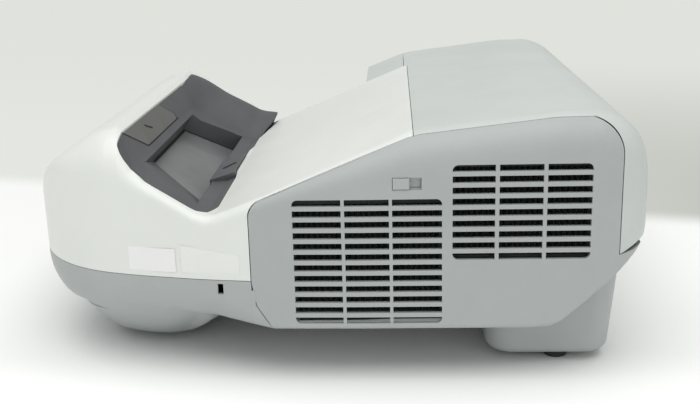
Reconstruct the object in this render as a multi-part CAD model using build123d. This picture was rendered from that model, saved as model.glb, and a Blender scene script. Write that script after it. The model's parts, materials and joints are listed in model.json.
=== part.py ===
"""Short-throw classroom projector that stands on its base, with its window facing up.

Millimetres.  +X points to the rear end, -Y to the side with the air filter door and +Z up.
The origin lies on the floor under the middle of the body.
"""

import os
from math import atan2, cos, hypot, pi, radians, sin, sqrt, tan

from build123d import *

# Overall size
body_width = 367.0
body_depth = 375.0
half_width = body_width / 2
half_depth = body_depth / 2
underside_z = 33.0
seam_z = 63.0
deck_z = 88.0
wall = 2.5
seam_gap = 0.4
cover_gap = 0.5

# Plan outline
bow_r = 435.0
bow_turn = radians(16.7)
rear_corner_r = 30.0

# Side outline of the top, from the front mirror dome to the rear
front_face_top = 110.3
front_roll_r = 41.0
dome_shoulder_x = -135.2
dome_shoulder_z = 145.2
crest_x = -120.0
crest_z = 146.5
dish_x = -108.0
dish_z = 122.0
valley_x = -67.0
valley_z = 98.5
hood_x = 53.0
hood_z = 147.1
back_x = 133.0
back_z = 156.1
top_z = 156.4
rear_roll_r = 35.0

# Side outline of the underside
skirt_r = 26.0
rise_x = 133.0
rise_z = 84.0
rise_blend_r = 25.0

# Far side: the hump ends at a wall, beyond it lies a low deck
hump_far_y = 88.0
hump_far_r = 8.0
step_x = 20.0
deck_edge_r = 8.0
deck_void_clear = 0.8
lamp_bay_x = -40.0
lamp_bay_end_x = 50.5
lamp_bay_z = 70.0
far_shoulder_r = 20.0

# Pods under the base
pod_floor_z = 5.0
pod_wall = 3.0
front_pod_x0 = -149.0
front_pod_x1 = -80.0
front_pod_y = 116.0
front_pod_r = 26.0
front_pod_flare_front = 9.0
front_pod_flare_back = 22.0
front_pod_flare_side = 34.0
rear_pod_x0 = 97.0
rear_pod_x1 = 171.0
rear_pod_y = 158.0
rear_pod_r = 16.0
rear_pod_flare = 3.0
rear_pod_flare_rear = 7.0
rear_pod_top = 78.0
pod_edge_r = 6.0

# Air filter door on the near side
door_x0 = -41.0
door_x1 = 168.0
door_wrap_z = 77.0
door_wrap_y = -160.0
door_low_x = -29.0
door_low_z = 48.0
door_seam_inset_front = 5.0
door_seam_inset = 11.5
door_swing_gap = 4.4
door_corner_r = 10.0
door_top_corner_r = 20.0
door_sill_y = -174.2
hinge_y = -177.8
hinge_z = 36.0
hinge_pin_r = 1.2
hinge_pin_fit = 0.05
hinge_knuckle_r = 2.3
hinge_knuckle_w = 6.0
hinge_ear_w = 3.0
hinge_side_gap = 0.3
hinge_xs = (-21.0, 118.0)

# Grilles in the door
slot_pitch = 6.4
slot_h = 3.8
slot_top_z = 128.6
slot_corner_r = 1.6
right_rows = range(0, 9)
right_columns = ((74.3, 98.0), (100.2, 124.5), (126.6, 151.3))
left_rows = range(3, 15)
left_columns = ((-15.8, 11.8), (13.7, 38.8), (40.6, 68.5))

# Latch of the door
latch_x0 = 40.8
latch_z = 120.2
latch_recess_l = 16.4
latch_recess_h = 7.2
latch_knob_l = 9.6
latch_knob_h = 6.4
latch_knob_out = 0.6
latch_travel = 6.0
latch_plate_l = 20.0
latch_plate_h = 10.0
latch_plate_t = 1.4
latch_clear = 0.3
latch_hook_d = 7.0
latch_hook_t = 1.6

# Frame behind the door and its two filters
frame_y = -173.0
frame_t = 2.5
frame_rim_t = 1.5
filter_front_y = -179.6
filter_fit = 0.3
filter_border = 3.0
filter_window_lap = 4.0
large_filter = (-18.0, 70.0, 40.6, 111.0)
small_filter = (72.9, 153.0, 74.0, 131.5)
pleat_pitch = 3.2
pleat_depth = 4.4
pleat_skin = 0.9

# Window bezel and projection glass
bezel_near_y = -174.0
bezel_far_y = 80.0
bezel_turn_y = 30.0
bezel_gap = 0.5
bezel_drop = 0.8
bezel_end_x = -62.0
bezel_base_z = 86.0
ear_tip_x = -52.0
ear_tip_z = 111.5
ear_bend_x = -64.0
ear_bend_z = 113.0
glass_mid_y = -41.0
glass_top_x = -115.0
glass_top_z = 113.0
glass_top_l = 101.0
glass_low_x = -81.5
glass_low_z = 92.0
glass_low_l = 142.0
glass_t = 3.0
glass_fit = 0.2
glass_ledge = 4.0
well_rise = 15.0
well_near = 54.0
well_far = 4.0
well_right = 0.5
bezel_corner_r = 13.0
bezel_apex_r = 16.0
bezel_jog = 2.0
ear_step = 0.35
sensor_near_y = -111.0
sensor_far_y = -17.0
sensor_reach = 20.0
sensor_over = 1.0
sensor_slant = 40.0
sensor_corner_r = 2.5
sensor_t = 1.6
sensor_fit = 0.3
pad_z = 103.3
pad_left_x = -76.0
pad_slot_l = 18.0
pad_slot_w = 1.8
pad_slot_turn = 70.0
pad_notch_r = 2.2

# Optics
lens_y = glass_mid_y
lens_z = 72.0
lens_r = 24.0
lens_tail_r = 19.0
lens_x0 = -56.0
lens_x1 = 19.7
lens_flange_x = -8.0
lens_glass_r = 20.0
lens_glass_t = 7.0
ring_x0 = -36.0
ring_w = 12.0
ring_t = 3.2
ring_fit = 0.06
ring_arm_w = 8.0
ring_arm_t = 3.0
ring_arm_y = -168.5
ring_slot_half_z = 26.5
ring_slot_w = 11.0
mirror_r = 150.0
mirror_t = 4.0
mirror_x = -158.0
mirror_half_y = 62.0
mirror_z0 = 52.0
mirror_z1 = 108.0
bracket_t = 4.0
block_x0 = 20.0
block_x1 = 92.0
block_y0 = -92.0
block_y1 = 12.0
block_z0 = 42.0
block_z1 = 102.0
sink_fins = 9
sink_fin_t = 1.4
sink_l = 26.0

# Lamp
lamp_x0 = -34.0
lamp_x1 = 44.0
lamp_y0 = 104.0
lamp_y1 = 166.0
lamp_top_z = 82.0
lamp_mouth_x = 22.0
lamp_chamfer = 16.0

# Fans
fan_in = (27.0, -148.0, 77.0)
fan_in_size = 70.0
fan_out = (143.0, 162.5, 101.0)
fan_out_size = 54.0
fan_depth = 18.0
fan_wall = 2.0
fan_tip_gap = 0.8
fan_hub_ratio = 0.42
fan_hub_gap = 0.5
post_wall_gap = 0.4
fan_blades = 7
blade_t = 1.3
blade_pitch = 38.0

# Far side wall: connector recess and exhaust slots
ports_x0 = 55.0
ports_x1 = 117.5
ports_z0 = 66.0
ports_z1 = 126.0
ports_depth = 9.0
port_panel_t = 1.5
main_board_y = 156.6
exhaust_x0 = 126.0
exhaust_x1 = 160.0
exhaust_z0 = 68.0
exhaust_rows = 9

# Keys on the deck
key_h = 7.0
key_l = 13.0
key_gap = 0.3
key_proud = 1.2
key_flange = 1.0
key_flange_t = 1.2
key_travel = 1.0
key_depth = 5.8
key_board_t = 1.6
key_rest_gap = 0.3
key_pad_x = -112.0
key_pad_y = 134.0
key_pad_step = 17.0

# Feet
foot_pad_r = 7.0
front_foot_pad_r = 10.0
foot_stem_r = 2.5
foot_stem_l = 24.0
foot_insert_r = 5.0
foot_insert_l = 14.0
foot_thread_fit = 0.08
rear_foot_x = 140.0
rear_foot_y = 144.0
front_foot_x = -115.0

# Screws and mounting threads
mount_x = 10.0
mount_dx = 110.0
mount_dy = 240.0
mount_hole_r = 2.0
mount_insert_r = 3.5
mount_insert_l = 8.0
boss_wall = 2.5
screw_spots = ((-48.0, -128.0), (-48.0, 128.0), (84.0, -120.0), (84.0, 128.0), (-10.0, 77.0), (10.0, -96.0))
screw_head_r = 3.2
screw_head_t = 2.4
screw_shank_r = 1.6
screw_well_l = 12.0
screw_l = 14.0

# Lock slot in the skirt
lock_x = -59.3
lock_z = 57.8
lock_w = 3.4
lock_h = 7.0


class Outline:
    """Open chain of corners with round blends, seen from the side and moved inwards by an inset."""

    def __init__(self, corners, inset, inward):
        self.pieces = []
        points = self._offset(corners, inset, inward)
        here = points[0]
        for before, corner, after, spec in zip(points, points[1:], points[2:], corners[1:]):
            u = self._unit(before, corner)
            v = self._unit(corner, after)
            cross = u[0] * v[1] - u[1] * v[0]
            turn = atan2(cross, u[0] * v[0] + u[1] * v[1])
            bulges = cross * inward > 0
            radius = max(spec[2] - inset if bulges else spec[2] + inset, 0.5)
            reach = radius * tan(abs(turn) / 2)
            start = (corner[0] - u[0] * reach, corner[1] - u[1] * reach)
            stop = (corner[0] + v[0] * reach, corner[1] + v[1] * reach)
            hand = 1 if cross > 0 else -1
            centre = (start[0] - u[1] * radius * hand, start[1] + u[0] * radius * hand)
            self.pieces.append((here, start, None))
            self.pieces.append((start, stop, (centre, radius, hand)))
            here = stop
        self.pieces.append((here, points[-1], None))

    @staticmethod
    def _unit(a, b):
        length = hypot(b[0] - a[0], b[1] - a[1])
        return ((b[0] - a[0]) / length, (b[1] - a[1]) / length)

    def _offset(self, corners, inset, inward):
        moved = []
        for k, corner in enumerate(corners):
            normals = []
            for a, b in zip(corners[max(k - 1, 0):k + 1], corners[max(k - 1, 0) + 1:k + 2]):
                u = self._unit(a, b)
                normals.append((-u[1] * inward, u[0] * inward))
            if len(normals) == 1:
                shift = normals[0]
            else:
                scale = 1 + normals[0][0] * normals[1][0] + normals[0][1] * normals[1][1]
                shift = ((normals[0][0] + normals[1][0]) / scale, (normals[0][1] + normals[1][1]) / scale)
            moved.append((corner[0] + inset * shift[0], corner[1] + inset * shift[1]))
        return moved

    def height(self, x):
        """Height of the line at x; past its ends, the end of the last blend."""
        for start, stop, arc in self.pieces:
            if stop[0] - start[0] < 1e-6 or not start[0] - 1e-6 <= x <= stop[0] + 1e-6:
                continue
            if arc is None:
                share = (x - start[0]) / (stop[0] - start[0])
                return start[1] + (stop[1] - start[1]) * share
            centre, radius, hand = arc
            return centre[1] - hand * sqrt(max(radius ** 2 - (x - centre[0]) ** 2, 0.0))
        first, last = self.pieces[1], self.pieces[-2]
        return first[0][1] if abs(x - first[0][0]) < abs(x - last[1][0]) else last[1][1]

    def blends(self):
        """First and last x of each round blend."""
        return [(start[0], stop[0]) for start, stop, arc in self.pieces if arc]


top_corners = [
    (-half_depth, underside_z, 0),
    (-half_depth, front_face_top, front_roll_r),
    (dome_shoulder_x, dome_shoulder_z, 50),
    (crest_x, crest_z, 6),
    (dish_x, dish_z, 20),
    (valley_x, valley_z, 14),
    (hood_x, hood_z, 30),
    (back_x, back_z, 60),
    (half_depth, top_z, rear_roll_r),
    (half_depth, underside_z, 0),
]
bottom_corners = [
    (-half_depth, top_z, 0),
    (-half_depth, underside_z, skirt_r),
    (rise_x, underside_z, rise_blend_r),
    (half_depth, rise_z, rise_blend_r),
    (half_depth, top_z, 0),
]
near_shoulder = [(-half_depth, 10), (-165, 12), (-150, 20), (-121, 30), (dish_x, 10), (-98, 6), (-40, 6),
                 (hood_x, 20), (170, 20), (half_depth, 16)]
near_foot = [(-half_depth, 10), (-175, skirt_r), (-66, skirt_r), (-29, 3), (half_depth, 3)]
far_foot = [(step_x, skirt_r), (120, skirt_r), (half_depth, 6)]


def ramp(x, stops):
    """Value at x on straight lines between the stops."""
    for (x0, v0), (x1, v1) in zip(stops, stops[1:]):
        if x <= x1:
            return v0 + (v1 - v0) * (max(x, x0) - x0) / (x1 - x0)
    return stops[-1][1]


def plan_half_width(x, inset=0.0):
    """Half width of the plan outline at x: straight, then a long bow, then the front corner."""
    bow_end = -(bow_r - inset) * sin(bow_turn)
    front_r = (half_depth - bow_r * sin(bow_turn)) / (1 - sin(bow_turn))
    front_y = half_width - bow_r * (1 - cos(bow_turn)) - front_r * cos(bow_turn)
    front_x = -half_depth + front_r
    rear_x = half_depth - rear_corner_r
    if x < bow_end:
        return front_y + sqrt(max((front_r - inset) ** 2 - (x - front_x) ** 2, 0.0))
    if x < 0:
        return half_width - bow_r + sqrt((bow_r - inset) ** 2 - x ** 2)
    if x > rear_x:
        return half_width - rear_corner_r + sqrt(max((rear_corner_r - inset) ** 2 - (x - rear_x) ** 2, 0.0))
    return half_width - inset


def box(x0, x1, y0, y1, z0, z1):
    return Pos((x0 + x1) / 2, (y0 + y1) / 2, (z0 + z1) / 2) * Box(x1 - x0, y1 - y0, z1 - z0)


def rod(centre, radius, length, axis="Z"):
    """Cylinder that starts at centre and runs along the axis."""
    turn = {"X": Rot(0, 90, 0), "Y": Rot(-90, 0, 0), "Z": Rot(0, 0, 0)}[axis]
    lift = Align.MIN
    return Pos(*centre) * turn * Cylinder(radius, length, align=(Align.CENTER, Align.CENTER, lift))


def side_prism(corners, y0, y1, radii=None):
    """Prism along Y over a polygon of (x, z) corners, with optional corner radii by index."""
    wire = Wire.make_polygon([Vector(x, y0, z) for x, z in corners], close=True)
    face = Face(wire)
    for index, radius in (radii or {}).items():
        x, z = corners[index]
        spot = min(face.vertices(), key=lambda v: hypot(v.X - x, v.Z - z))
        face = face.fillet_2d(radius, [spot])
    return Solid.extrude(face, Vector(0, y1 - y0, 0))


def plan_prism(corners, z0, z1, radii=None):
    """Prism along Z over a polygon of (x, y) corners."""
    wire = Wire.make_polygon([Vector(x, y, z0) for x, y in corners], close=True)
    face = Face(wire)
    for index, radius in (radii or {}).items():
        x, y = corners[index]
        spot = min(face.vertices(), key=lambda v: hypot(v.X - x, v.Y - y))
        face = face.fillet_2d(radius, [spot])
    return Solid.extrude(face, Vector(0, 0, z1 - z0))


def rounded_rect(x0, x1, y0, y1, radius, z):
    shape = Pos((x0 + x1) / 2, (y0 + y1) / 2, z) * RectangleRounded(x1 - x0, y1 - y0, radius)
    return shape.face()


def arc(x, y, z, radius, start):
    """Quarter circle in the plane at x, from the start angle clockwise by 90 degrees."""
    spots = [radians(start - 45 * k) for k in range(3)]
    points = [Vector(x, y + radius * cos(a), z + radius * sin(a)) for a in spots]
    return Edge.make_three_point_arc(*points)


def body_section(x, inset, top, bottom, full_width):
    """Cross section of the body at x: near wall and shoulder, top, far side, floor."""
    near = plan_half_width(x, inset)
    high, low = top.height(x), bottom.height(x)
    shoulder = max(ramp(x, near_shoulder) - inset, 1.0)
    foot = max(ramp(x, near_foot) - inset, 0.8)
    squeeze = min(1.0, 0.95 * (high - low) / (shoulder + foot))
    shoulder, foot = shoulder * squeeze, foot * squeeze
    if full_width:
        far = near
        far_shoulder = max(min(far_shoulder_r, ramp(x, near_shoulder)) - inset, 1.0)
        far_foot_r = max(ramp(x, far_foot) - inset, 1.0)
    else:
        far = hump_far_y - inset
        far_shoulder = hump_far_r - inset
        far_foot_r = 0.0
    edges = [
        Edge.make_line((x, -near, low + foot), (x, -near, high - shoulder)),
        arc(x, shoulder - near, high - shoulder, shoulder, 180),
        Edge.make_line((x, shoulder - near, high), (x, far - far_shoulder, high)),
        arc(x, far - far_shoulder, high - far_shoulder, far_shoulder, 90),
        Edge.make_line((x, far, high - far_shoulder), (x, far, low + far_foot_r)),
    ]
    if far_foot_r:
        edges.append(arc(x, far - far_foot_r, low + far_foot_r, far_foot_r, 0))
    edges.append(Edge.make_line((x, far - far_foot_r, low), (x, foot - near, low)))
    edges.append(arc(x, foot - near, low + foot, foot, 270))
    return Face(Wire(edges))


def deck_block(inset):
    """Low part on the far side: the plan outline with a round foot and a round top edge."""
    side = inset + (deck_void_clear if inset > 1 else 0.0)
    front_r = (half_depth - bow_r * sin(bow_turn)) / (1 - sin(bow_turn))
    front_y = half_width - bow_r * (1 - cos(bow_turn)) - front_r * cos(bow_turn)
    centre = (-half_depth + front_r, front_y)
    radius = front_r - side
    inner_y = hump_far_y - inset
    start_x = centre[0] - sqrt(radius ** 2 - (inner_y - centre[1]) ** 2)
    bow_x, bow_y = -(bow_r - side) * sin(bow_turn), half_width - bow_r + (bow_r - side) * cos(bow_turn)
    mid_turn = (pi - atan2(inner_y - centre[1], centre[0] - start_x) + pi / 2 + bow_turn) / 2
    middle = (centre[0] + radius * cos(mid_turn), centre[1] + radius * sin(mid_turn))
    half_bow = bow_turn / 2
    bow_mid = (-(bow_r - side) * sin(half_bow), half_width - bow_r + (bow_r - side) * cos(half_bow))
    end_x = step_x + inset
    z = underside_z + inset
    outer_y = half_width - side
    wire = Wire([
        Edge.make_three_point_arc((start_x, inner_y, z), (*middle, z), (bow_x, bow_y, z)),
        Edge.make_three_point_arc((bow_x, bow_y, z), (*bow_mid, z), (0, outer_y, z)),
        Edge.make_line((0, outer_y, z), (end_x, outer_y, z)),
        Edge.make_line((end_x, outer_y, z), (end_x, inner_y, z)),
        Edge.make_line((end_x, inner_y, z), (start_x, inner_y, z)),
    ])
    block = Solid.extrude(Face(wire), Vector(0, 0, deck_z - underside_z - 2 * inset))
    rims = [e for e in block.edges() if e.length > 15 and abs(e.tangent_at(0.5).Z) < 0.5
            and e.center().Y > inner_y + 1 and e.center().X < end_x - 1]
    low = [e for e in rims if e.center().Z < seam_z]
    block = block.fillet(skirt_r - inset, low)
    rims = [e for e in block.edges() if e.length > 15 and abs(e.center().Z - deck_z + inset) < 0.1
            and e.center().Y > inner_y + 1 and e.center().X < end_x - 1]
    return block.fillet(deck_edge_r - inset, rims)


def body_hull(inset):
    """The whole outer form, moved inwards by the inset."""
    top = Outline(top_corners, inset, -1)
    bottom = Outline(bottom_corners, inset, 1)
    front, rear = -half_depth + inset, half_depth - inset
    blends = top.blends()
    roll = front_roll_r - inset
    dome = [front + roll * (1 - cos(radians(a))) for a in (0, 13, 26, 40, 56)]
    dome += [-150.0, sum(blends[1]) / 2, -124.0]
    middle = {x for pair in blends[1:5] for x in pair if x > -124.0}
    middle |= {-124.0, -118.2, -116.0, sum(blends[4]) / 2, -54.0, -42.0, -29.0, step_x + inset}
    block = {x for pair in blends[5:8] for x in pair if x < half_depth - rear_corner_r - 4}
    block |= {step_x + inset, 120.0}
    tail_x = max(block)
    tail = [rear - (rear - tail_x) * (1 - sin(radians(a))) for a in (0, 14, 28, 42, 56, 70, 80, 90)]
    parts = [loft([body_section(x, inset, top, bottom, False) for x in dome])]
    parts.append(loft([body_section(x, inset, top, bottom, False) for x in sorted(middle)], ruled=True))
    parts.append(loft([body_section(x, inset, top, bottom, True) for x in sorted(block)], ruled=True))
    parts.append(loft([body_section(x, inset, top, bottom, True) for x in tail]))
    parts.append(deck_block(inset))
    hull = parts[0]
    for part in parts[1:]:
        hull = hull + part
    return hull


def tapered_pod(x0, x1, y, radius, z0, z1, flare_front, flare_back, flare_side):
    low = rounded_rect(x0, x1, -y, y, radius, z0)
    high = rounded_rect(x0 - flare_front, x1 + flare_back, -y - flare_side, y + flare_side,
                        radius + min(flare_front, flare_back, flare_side), z1)
    return loft([low, high], ruled=True)


def front_pod(inset):
    return tapered_pod(front_pod_x0 + inset, front_pod_x1 - inset, front_pod_y - inset, front_pod_r - inset,
                       pod_floor_z + inset, underside_z + inset, front_pod_flare_front, front_pod_flare_back,
                       front_pod_flare_side)


def rear_pod(inset):
    return tapered_pod(rear_pod_x0 + inset, rear_pod_x1 - inset, rear_pod_y - inset, rear_pod_r - inset,
                       pod_floor_z + inset, rear_pod_top, rear_pod_flare, rear_pod_flare_rear, rear_pod_flare)


def soften_floor(pod, radius):
    """Round the lower edge of a pod."""
    rim = [e for e in pod.edges() if abs(e.center().Z - pod_floor_z) < 0.1]
    return pod.fillet(radius, rim)


def door_region(gap):
    """Space of the door seen from the side and in plan, made smaller by the gap."""
    slope = (hood_z - valley_z) / (hood_x - valley_x)
    lift = 1.3 + gap
    swing = door_swing_gap if gap > 0 else 0.0
    seen = side_prism([
        (door_x0 + gap, seam_z - 1),
        (door_x0 + gap, valley_z + slope * (door_x0 - valley_x) - lift),
        (hood_x, hood_z - lift),
        (back_x, back_z - lift),
        (door_x1 - gap, top_z - lift),
        (door_x1 - gap, door_wrap_z - gap),
        (door_x1 + 8, door_wrap_z + 3.6 - gap - 0.5 * swing),
        (half_depth + 3, door_wrap_z + 10 - gap - swing),
        (half_depth + 3, underside_z - 3),
        (door_low_x + gap, underside_z - 3),
        (door_low_x + gap, underside_z + gap / 2),
        (door_x0 + 2.5 + gap, door_low_z),
    ], -half_width - 5, 0, {1: door_corner_r, 4: door_top_corner_r})
    plan = plan_prism([
        (door_x0 - 5, -half_width - 5),
        (door_x0 - 5, -half_width + door_seam_inset_front - gap / 2),
        (door_x0 + 8, -half_width + door_seam_inset_front - gap / 2),
        (hood_x, -half_width + door_seam_inset - gap),
        (door_x1, -half_width + door_seam_inset - gap),
        (door_x1, door_wrap_y - gap),
        (half_depth + 5, door_wrap_y - gap),
        (half_depth + 5, -half_width - 5),
    ], 0, top_z + 5)
    return seen & plan


def slot_pattern(rows, columns, y0, y1):
    """Rows of slots through the door; the outer corners of the block are rounded more."""
    cutters = []
    for row in rows:
        z = slot_top_z - row * slot_pitch
        for x0, x1 in columns:
            corners = [(x0, z - slot_h / 2), (x1, z - slot_h / 2), (x1, z + slot_h / 2), (x0, z + slot_h / 2)]
            radii = {}
            if row == rows[0] and x0 == columns[0][0]:
                radii[3] = slot_corner_r * 2
            if row == rows[0] and x1 == columns[-1][1]:
                radii[2] = slot_corner_r * 2
            if row == rows[-1] and x0 == columns[0][0]:
                radii[0] = slot_corner_r * 2
            if row == rows[-1] and x1 == columns[-1][1]:
                radii[1] = slot_corner_r * 2
            cutters.append(side_prism(corners, y0, y1, radii))
    return cutters


def cut_all(solid, cutters):
    return solid - [c for c in cutters]


def join_all(solid, additions):
    for extra in additions:
        solid = solid + extra
    return solid


def filter_door(shell):
    """Door with its two grilles, the latch recess and the hinge knuckles."""
    door = shell & door_region(cover_gap / 2)
    door = door - box(-half_depth, half_depth, -half_width + wall, 0, 0, hinge_z + 4)
    inner_y = -half_width + wall
    knuckles = []
    for x in hinge_xs:
        knuckles.append(rod((x - hinge_knuckle_w / 2, hinge_y, hinge_z), hinge_knuckle_r, hinge_knuckle_w, "X"))
        knuckles.append(box(x - hinge_knuckle_w / 2, x + hinge_knuckle_w / 2, inner_y - 0.6, hinge_y,
                            hinge_z - hinge_knuckle_r, hinge_z + hinge_knuckle_r))
    door = join_all(door, knuckles)
    bores = [rod((x - hinge_knuckle_w, hinge_y, hinge_z), hinge_pin_r + hinge_pin_fit, 2 * hinge_knuckle_w, "X")
             for x in hinge_xs]
    slots = slot_pattern(right_rows, right_columns, -half_width - 3, inner_y + 3)
    slots += slot_pattern(left_rows, left_columns, -half_width - 3, inner_y + 3)
    recess = box(latch_x0, latch_x0 + latch_recess_l, -half_width - 1, -half_width + 1.0,
                 latch_z - latch_recess_h / 2, latch_z + latch_recess_h / 2)
    opening_h = latch_knob_h / 2 + latch_clear
    opening = box(latch_x0 + 0.2, latch_x0 + latch_recess_l - 0.2, -half_width - 1, inner_y + 1,
                  latch_z - opening_h + 0.6, latch_z + opening_h - 0.6)
    door = cut_all(door, bores + slots + [recess, opening])
    rail_y = inner_y + latch_clear + latch_plate_t + latch_clear
    rails = []
    for side in (-1, 1):
        edge = latch_z + side * (latch_plate_h / 2 + latch_clear)
        rails.append(box(latch_x0 - 6, latch_x0 + latch_plate_l + 6, inner_y - 0.5, rail_y + 1.2,
                         min(edge, edge + side * 1.5), max(edge, edge + side * 1.5)))
        rails.append(box(latch_x0 - 6, latch_x0 + latch_plate_l + 6, rail_y, rail_y + 1.2,
                         min(edge - side * 1.5, edge + side), max(edge - side * 1.5, edge + side)))
    return join_all(door, rails)


def latch_slider():
    inner_y = -half_width + wall
    plate_y = inner_y + latch_clear
    x0 = latch_x0 - 4.0
    plate = box(x0, x0 + latch_plate_l, plate_y, plate_y + latch_plate_t,
                latch_z - latch_plate_h / 2, latch_z + latch_plate_h / 2)
    neck_h = latch_knob_h / 2 - 0.6
    neck = box(latch_x0 + 0.5, latch_x0 + latch_knob_l - 0.4, -half_width + 0.6, plate_y + 0.5,
               latch_z - neck_h, latch_z + neck_h)
    knob = box(latch_x0 + 0.3, latch_x0 + latch_knob_l, -half_width - latch_knob_out, -half_width + 0.7,
               latch_z - latch_knob_h / 2, latch_z + latch_knob_h / 2)
    knob = knob.fillet(0.5, [e for e in knob.edges() if e.center().Y < -half_width - latch_knob_out + 0.1])
    hook_x = latch_x0 + 2.0
    arm = box(hook_x, hook_x + 4, plate_y + 0.5, plate_y + latch_plate_t + latch_hook_d,
              latch_z - 2.0, latch_z + 2.0)
    tip_y = plate_y + latch_plate_t + latch_hook_d
    tip = side_prism([(hook_x - 2.6, latch_z - 2), (hook_x + 4, latch_z - 2), (hook_x + 4, latch_z + 2),
                      (hook_x - 2.6, latch_z + 2)], tip_y - latch_hook_t, tip_y)
    return join_all(plate, [neck, knob, arm, tip])


def filter_frame():
    """Bulkhead behind the door: two windows, rims that hold the filters, a lever slot, a catch."""
    outline = [(door_x0 + 4, underside_z + wall + 0.1), (door_x0 + 4, 101.5), (hood_x, hood_z - 9.0),
               (back_x, back_z - 9.0), (door_x1 - 8, top_z - 9.0), (door_x1 - 3, top_z - 20.0),
               (door_x1 - 3, 76.0), (rise_x + 2, underside_z + wall + 8.0),
               (rise_x - 14, underside_z + wall + 0.1)]
    plate = side_prism(outline, frame_y, frame_y + frame_t)
    rims, windows = [], []
    for x0, x1, z0, z1 in (large_filter, small_filter):
        fit = filter_fit
        rim = box(x0 - fit - frame_rim_t, x1 + fit + frame_rim_t, filter_front_y + 1.2, frame_y + 0.5,
                  z0 - fit - frame_rim_t, z1 + fit + frame_rim_t)
        rims.append(rim - box(x0 - fit, x1 + fit, filter_front_y - 1, frame_y, z0 - fit, z1 + fit))
        lap = filter_window_lap
        windows.append(box(x0 + lap, x1 - lap, frame_y - 1, frame_y + frame_t + 1, z0 + lap, z1 - lap))
    slot_x = ring_x0 + ring_w / 2
    windows.append(box(slot_x - ring_slot_w / 2 + 3.0, slot_x + ring_slot_w / 2, frame_y - 1,
                       frame_y + frame_t + 1, lens_z - ring_slot_half_z, lens_z + ring_slot_half_z))
    catch_x = latch_x0 + 2.0 - 2.6 - latch_clear
    catch = box(catch_x - 6, catch_x, frame_y - 3.2, frame_y + 0.5, latch_z - 4, latch_z + 4)
    windows.append(box(catch_x + 0.1, latch_x0 + 6.5 + latch_travel, frame_y - 1, frame_y + frame_t + 1,
                       latch_z - 3, latch_z + 3))
    plate = cut_all(plate, windows)
    return join_all(plate, rims + [catch])


def air_filter(x0, x1, z0, z1):
    """Framed filter with a folded sheet: a zigzag strip drawn upwards."""
    back_y = frame_y - 0.2
    border = box(x0, x1, filter_front_y, back_y, z0, z1)
    border = border - box(x0 + filter_border, x1 - filter_border, filter_front_y - 1, back_y + 1,
                          z0 + filter_border, z1 - filter_border)
    inner_x0, inner_x1 = x0 + filter_border - 0.4, x1 - filter_border + 0.4
    folds = max(int((inner_x1 - inner_x0) / pleat_pitch), 2)
    step = (inner_x1 - inner_x0) / (2 * folds)
    crest_y = filter_front_y + 0.8
    line = [(inner_x0 + k * step, crest_y + (pleat_depth if k % 2 else 0.0)) for k in range(2 * folds + 1)]
    back = [(x, y + pleat_skin) for x, y in reversed(line)]
    sheet = plan_prism(line + back, z0 + filter_border - 0.4, z1 - filter_border + 0.4)
    return border + sheet


def hinge_pins():
    pins = []
    for x in hinge_xs:
        reach = hinge_knuckle_w / 2 + hinge_side_gap + hinge_ear_w
        pins.append(rod((x - reach, hinge_y, hinge_z), hinge_pin_r, 2 * reach, "X"))
    return Compound(children=pins)


def hinge_ears():
    """Ears on the floor edge, one each side of a door knuckle."""
    ears = []
    for x in hinge_xs:
        for side in (-1, 1):
            near = x + side * (hinge_knuckle_w / 2 + hinge_side_gap)
            x0, x1 = sorted((near, near + side * hinge_ear_w))
            ear = rod((x0, hinge_y, hinge_z), hinge_knuckle_r, x1 - x0, "X")
            ear = ear + box(x0, x1, hinge_y, door_sill_y + 1, underside_z + 0.2, hinge_z + hinge_knuckle_r)
            ear = ear + box(x0, x1, hinge_y, door_sill_y + 5, underside_z + 0.2, underside_z + wall)
            ears.append(ear - rod((x0 - 1, hinge_y, hinge_z), hinge_pin_r, x1 - x0 + 2, "X"))
    return ears


def bezel_plan(grow, z0, z1):
    """Plan of the dark surround; its edge jogs in beside the pad, and the ear widens to the far side."""
    front, right = crest_x + 1 - grow, bezel_end_x + grow
    return plan_prism([
        (front, bezel_far_y + grow),
        (front, -159.0 - grow),
        (-98.6, -165.0 - grow),
        (-76.0, -168.5 - grow),
        (right, -166.0 - grow),
        (right, -89.0),
        (right - bezel_jog, -71.0),
        (right - bezel_jog, -9.0),
        (right, 2.0),
        (right, bezel_turn_y),
        (ear_tip_x + grow, bezel_far_y + grow),
    ], z0, z1, {0: bezel_apex_r, 1: 8, 4: bezel_corner_r, 10: 2})


def ear_outline(drop, low):
    """Side outline of the raised far end of the surround."""
    return [(crest_x + 1, crest_z - 0.3 - drop), (-92.0, 128.0 - drop), (ear_bend_x, ear_bend_z - drop),
            (ear_tip_x, ear_tip_z - drop), (ear_tip_x - 8, low + 8), (crest_x + 1, low + 8)]


def glass_point(share, along, lift=0.0):
    """Point on the glass plane: share runs from its high edge to its low edge."""
    x = glass_top_x + (glass_low_x - glass_top_x) * share
    z = glass_top_z + (glass_low_z - glass_top_z) * share
    tilt = atan2(glass_top_z - glass_low_z, glass_low_x - glass_top_x)
    return Vector(x + lift * sin(tilt), glass_mid_y + along, z + lift * cos(tilt))


def glass_face(grow, lift, near=0.0, far=0.0, right=0.0):
    """Trapezoid on or above the glass plane, grown at its near, far and low sides."""
    length = hypot(glass_low_x - glass_top_x, glass_low_z - glass_top_z)
    corners = [(-grow / length, -glass_top_l / 2 - grow - near), (-grow / length, glass_top_l / 2 + grow + far),
               (1 + (grow + right) / length, glass_low_l / 2 + grow + far),
               (1 + (grow + right) / length, -glass_low_l / 2 - grow - near)]
    return Face(Wire.make_polygon([glass_point(s, y, lift) for s, y in corners], close=True))


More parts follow.
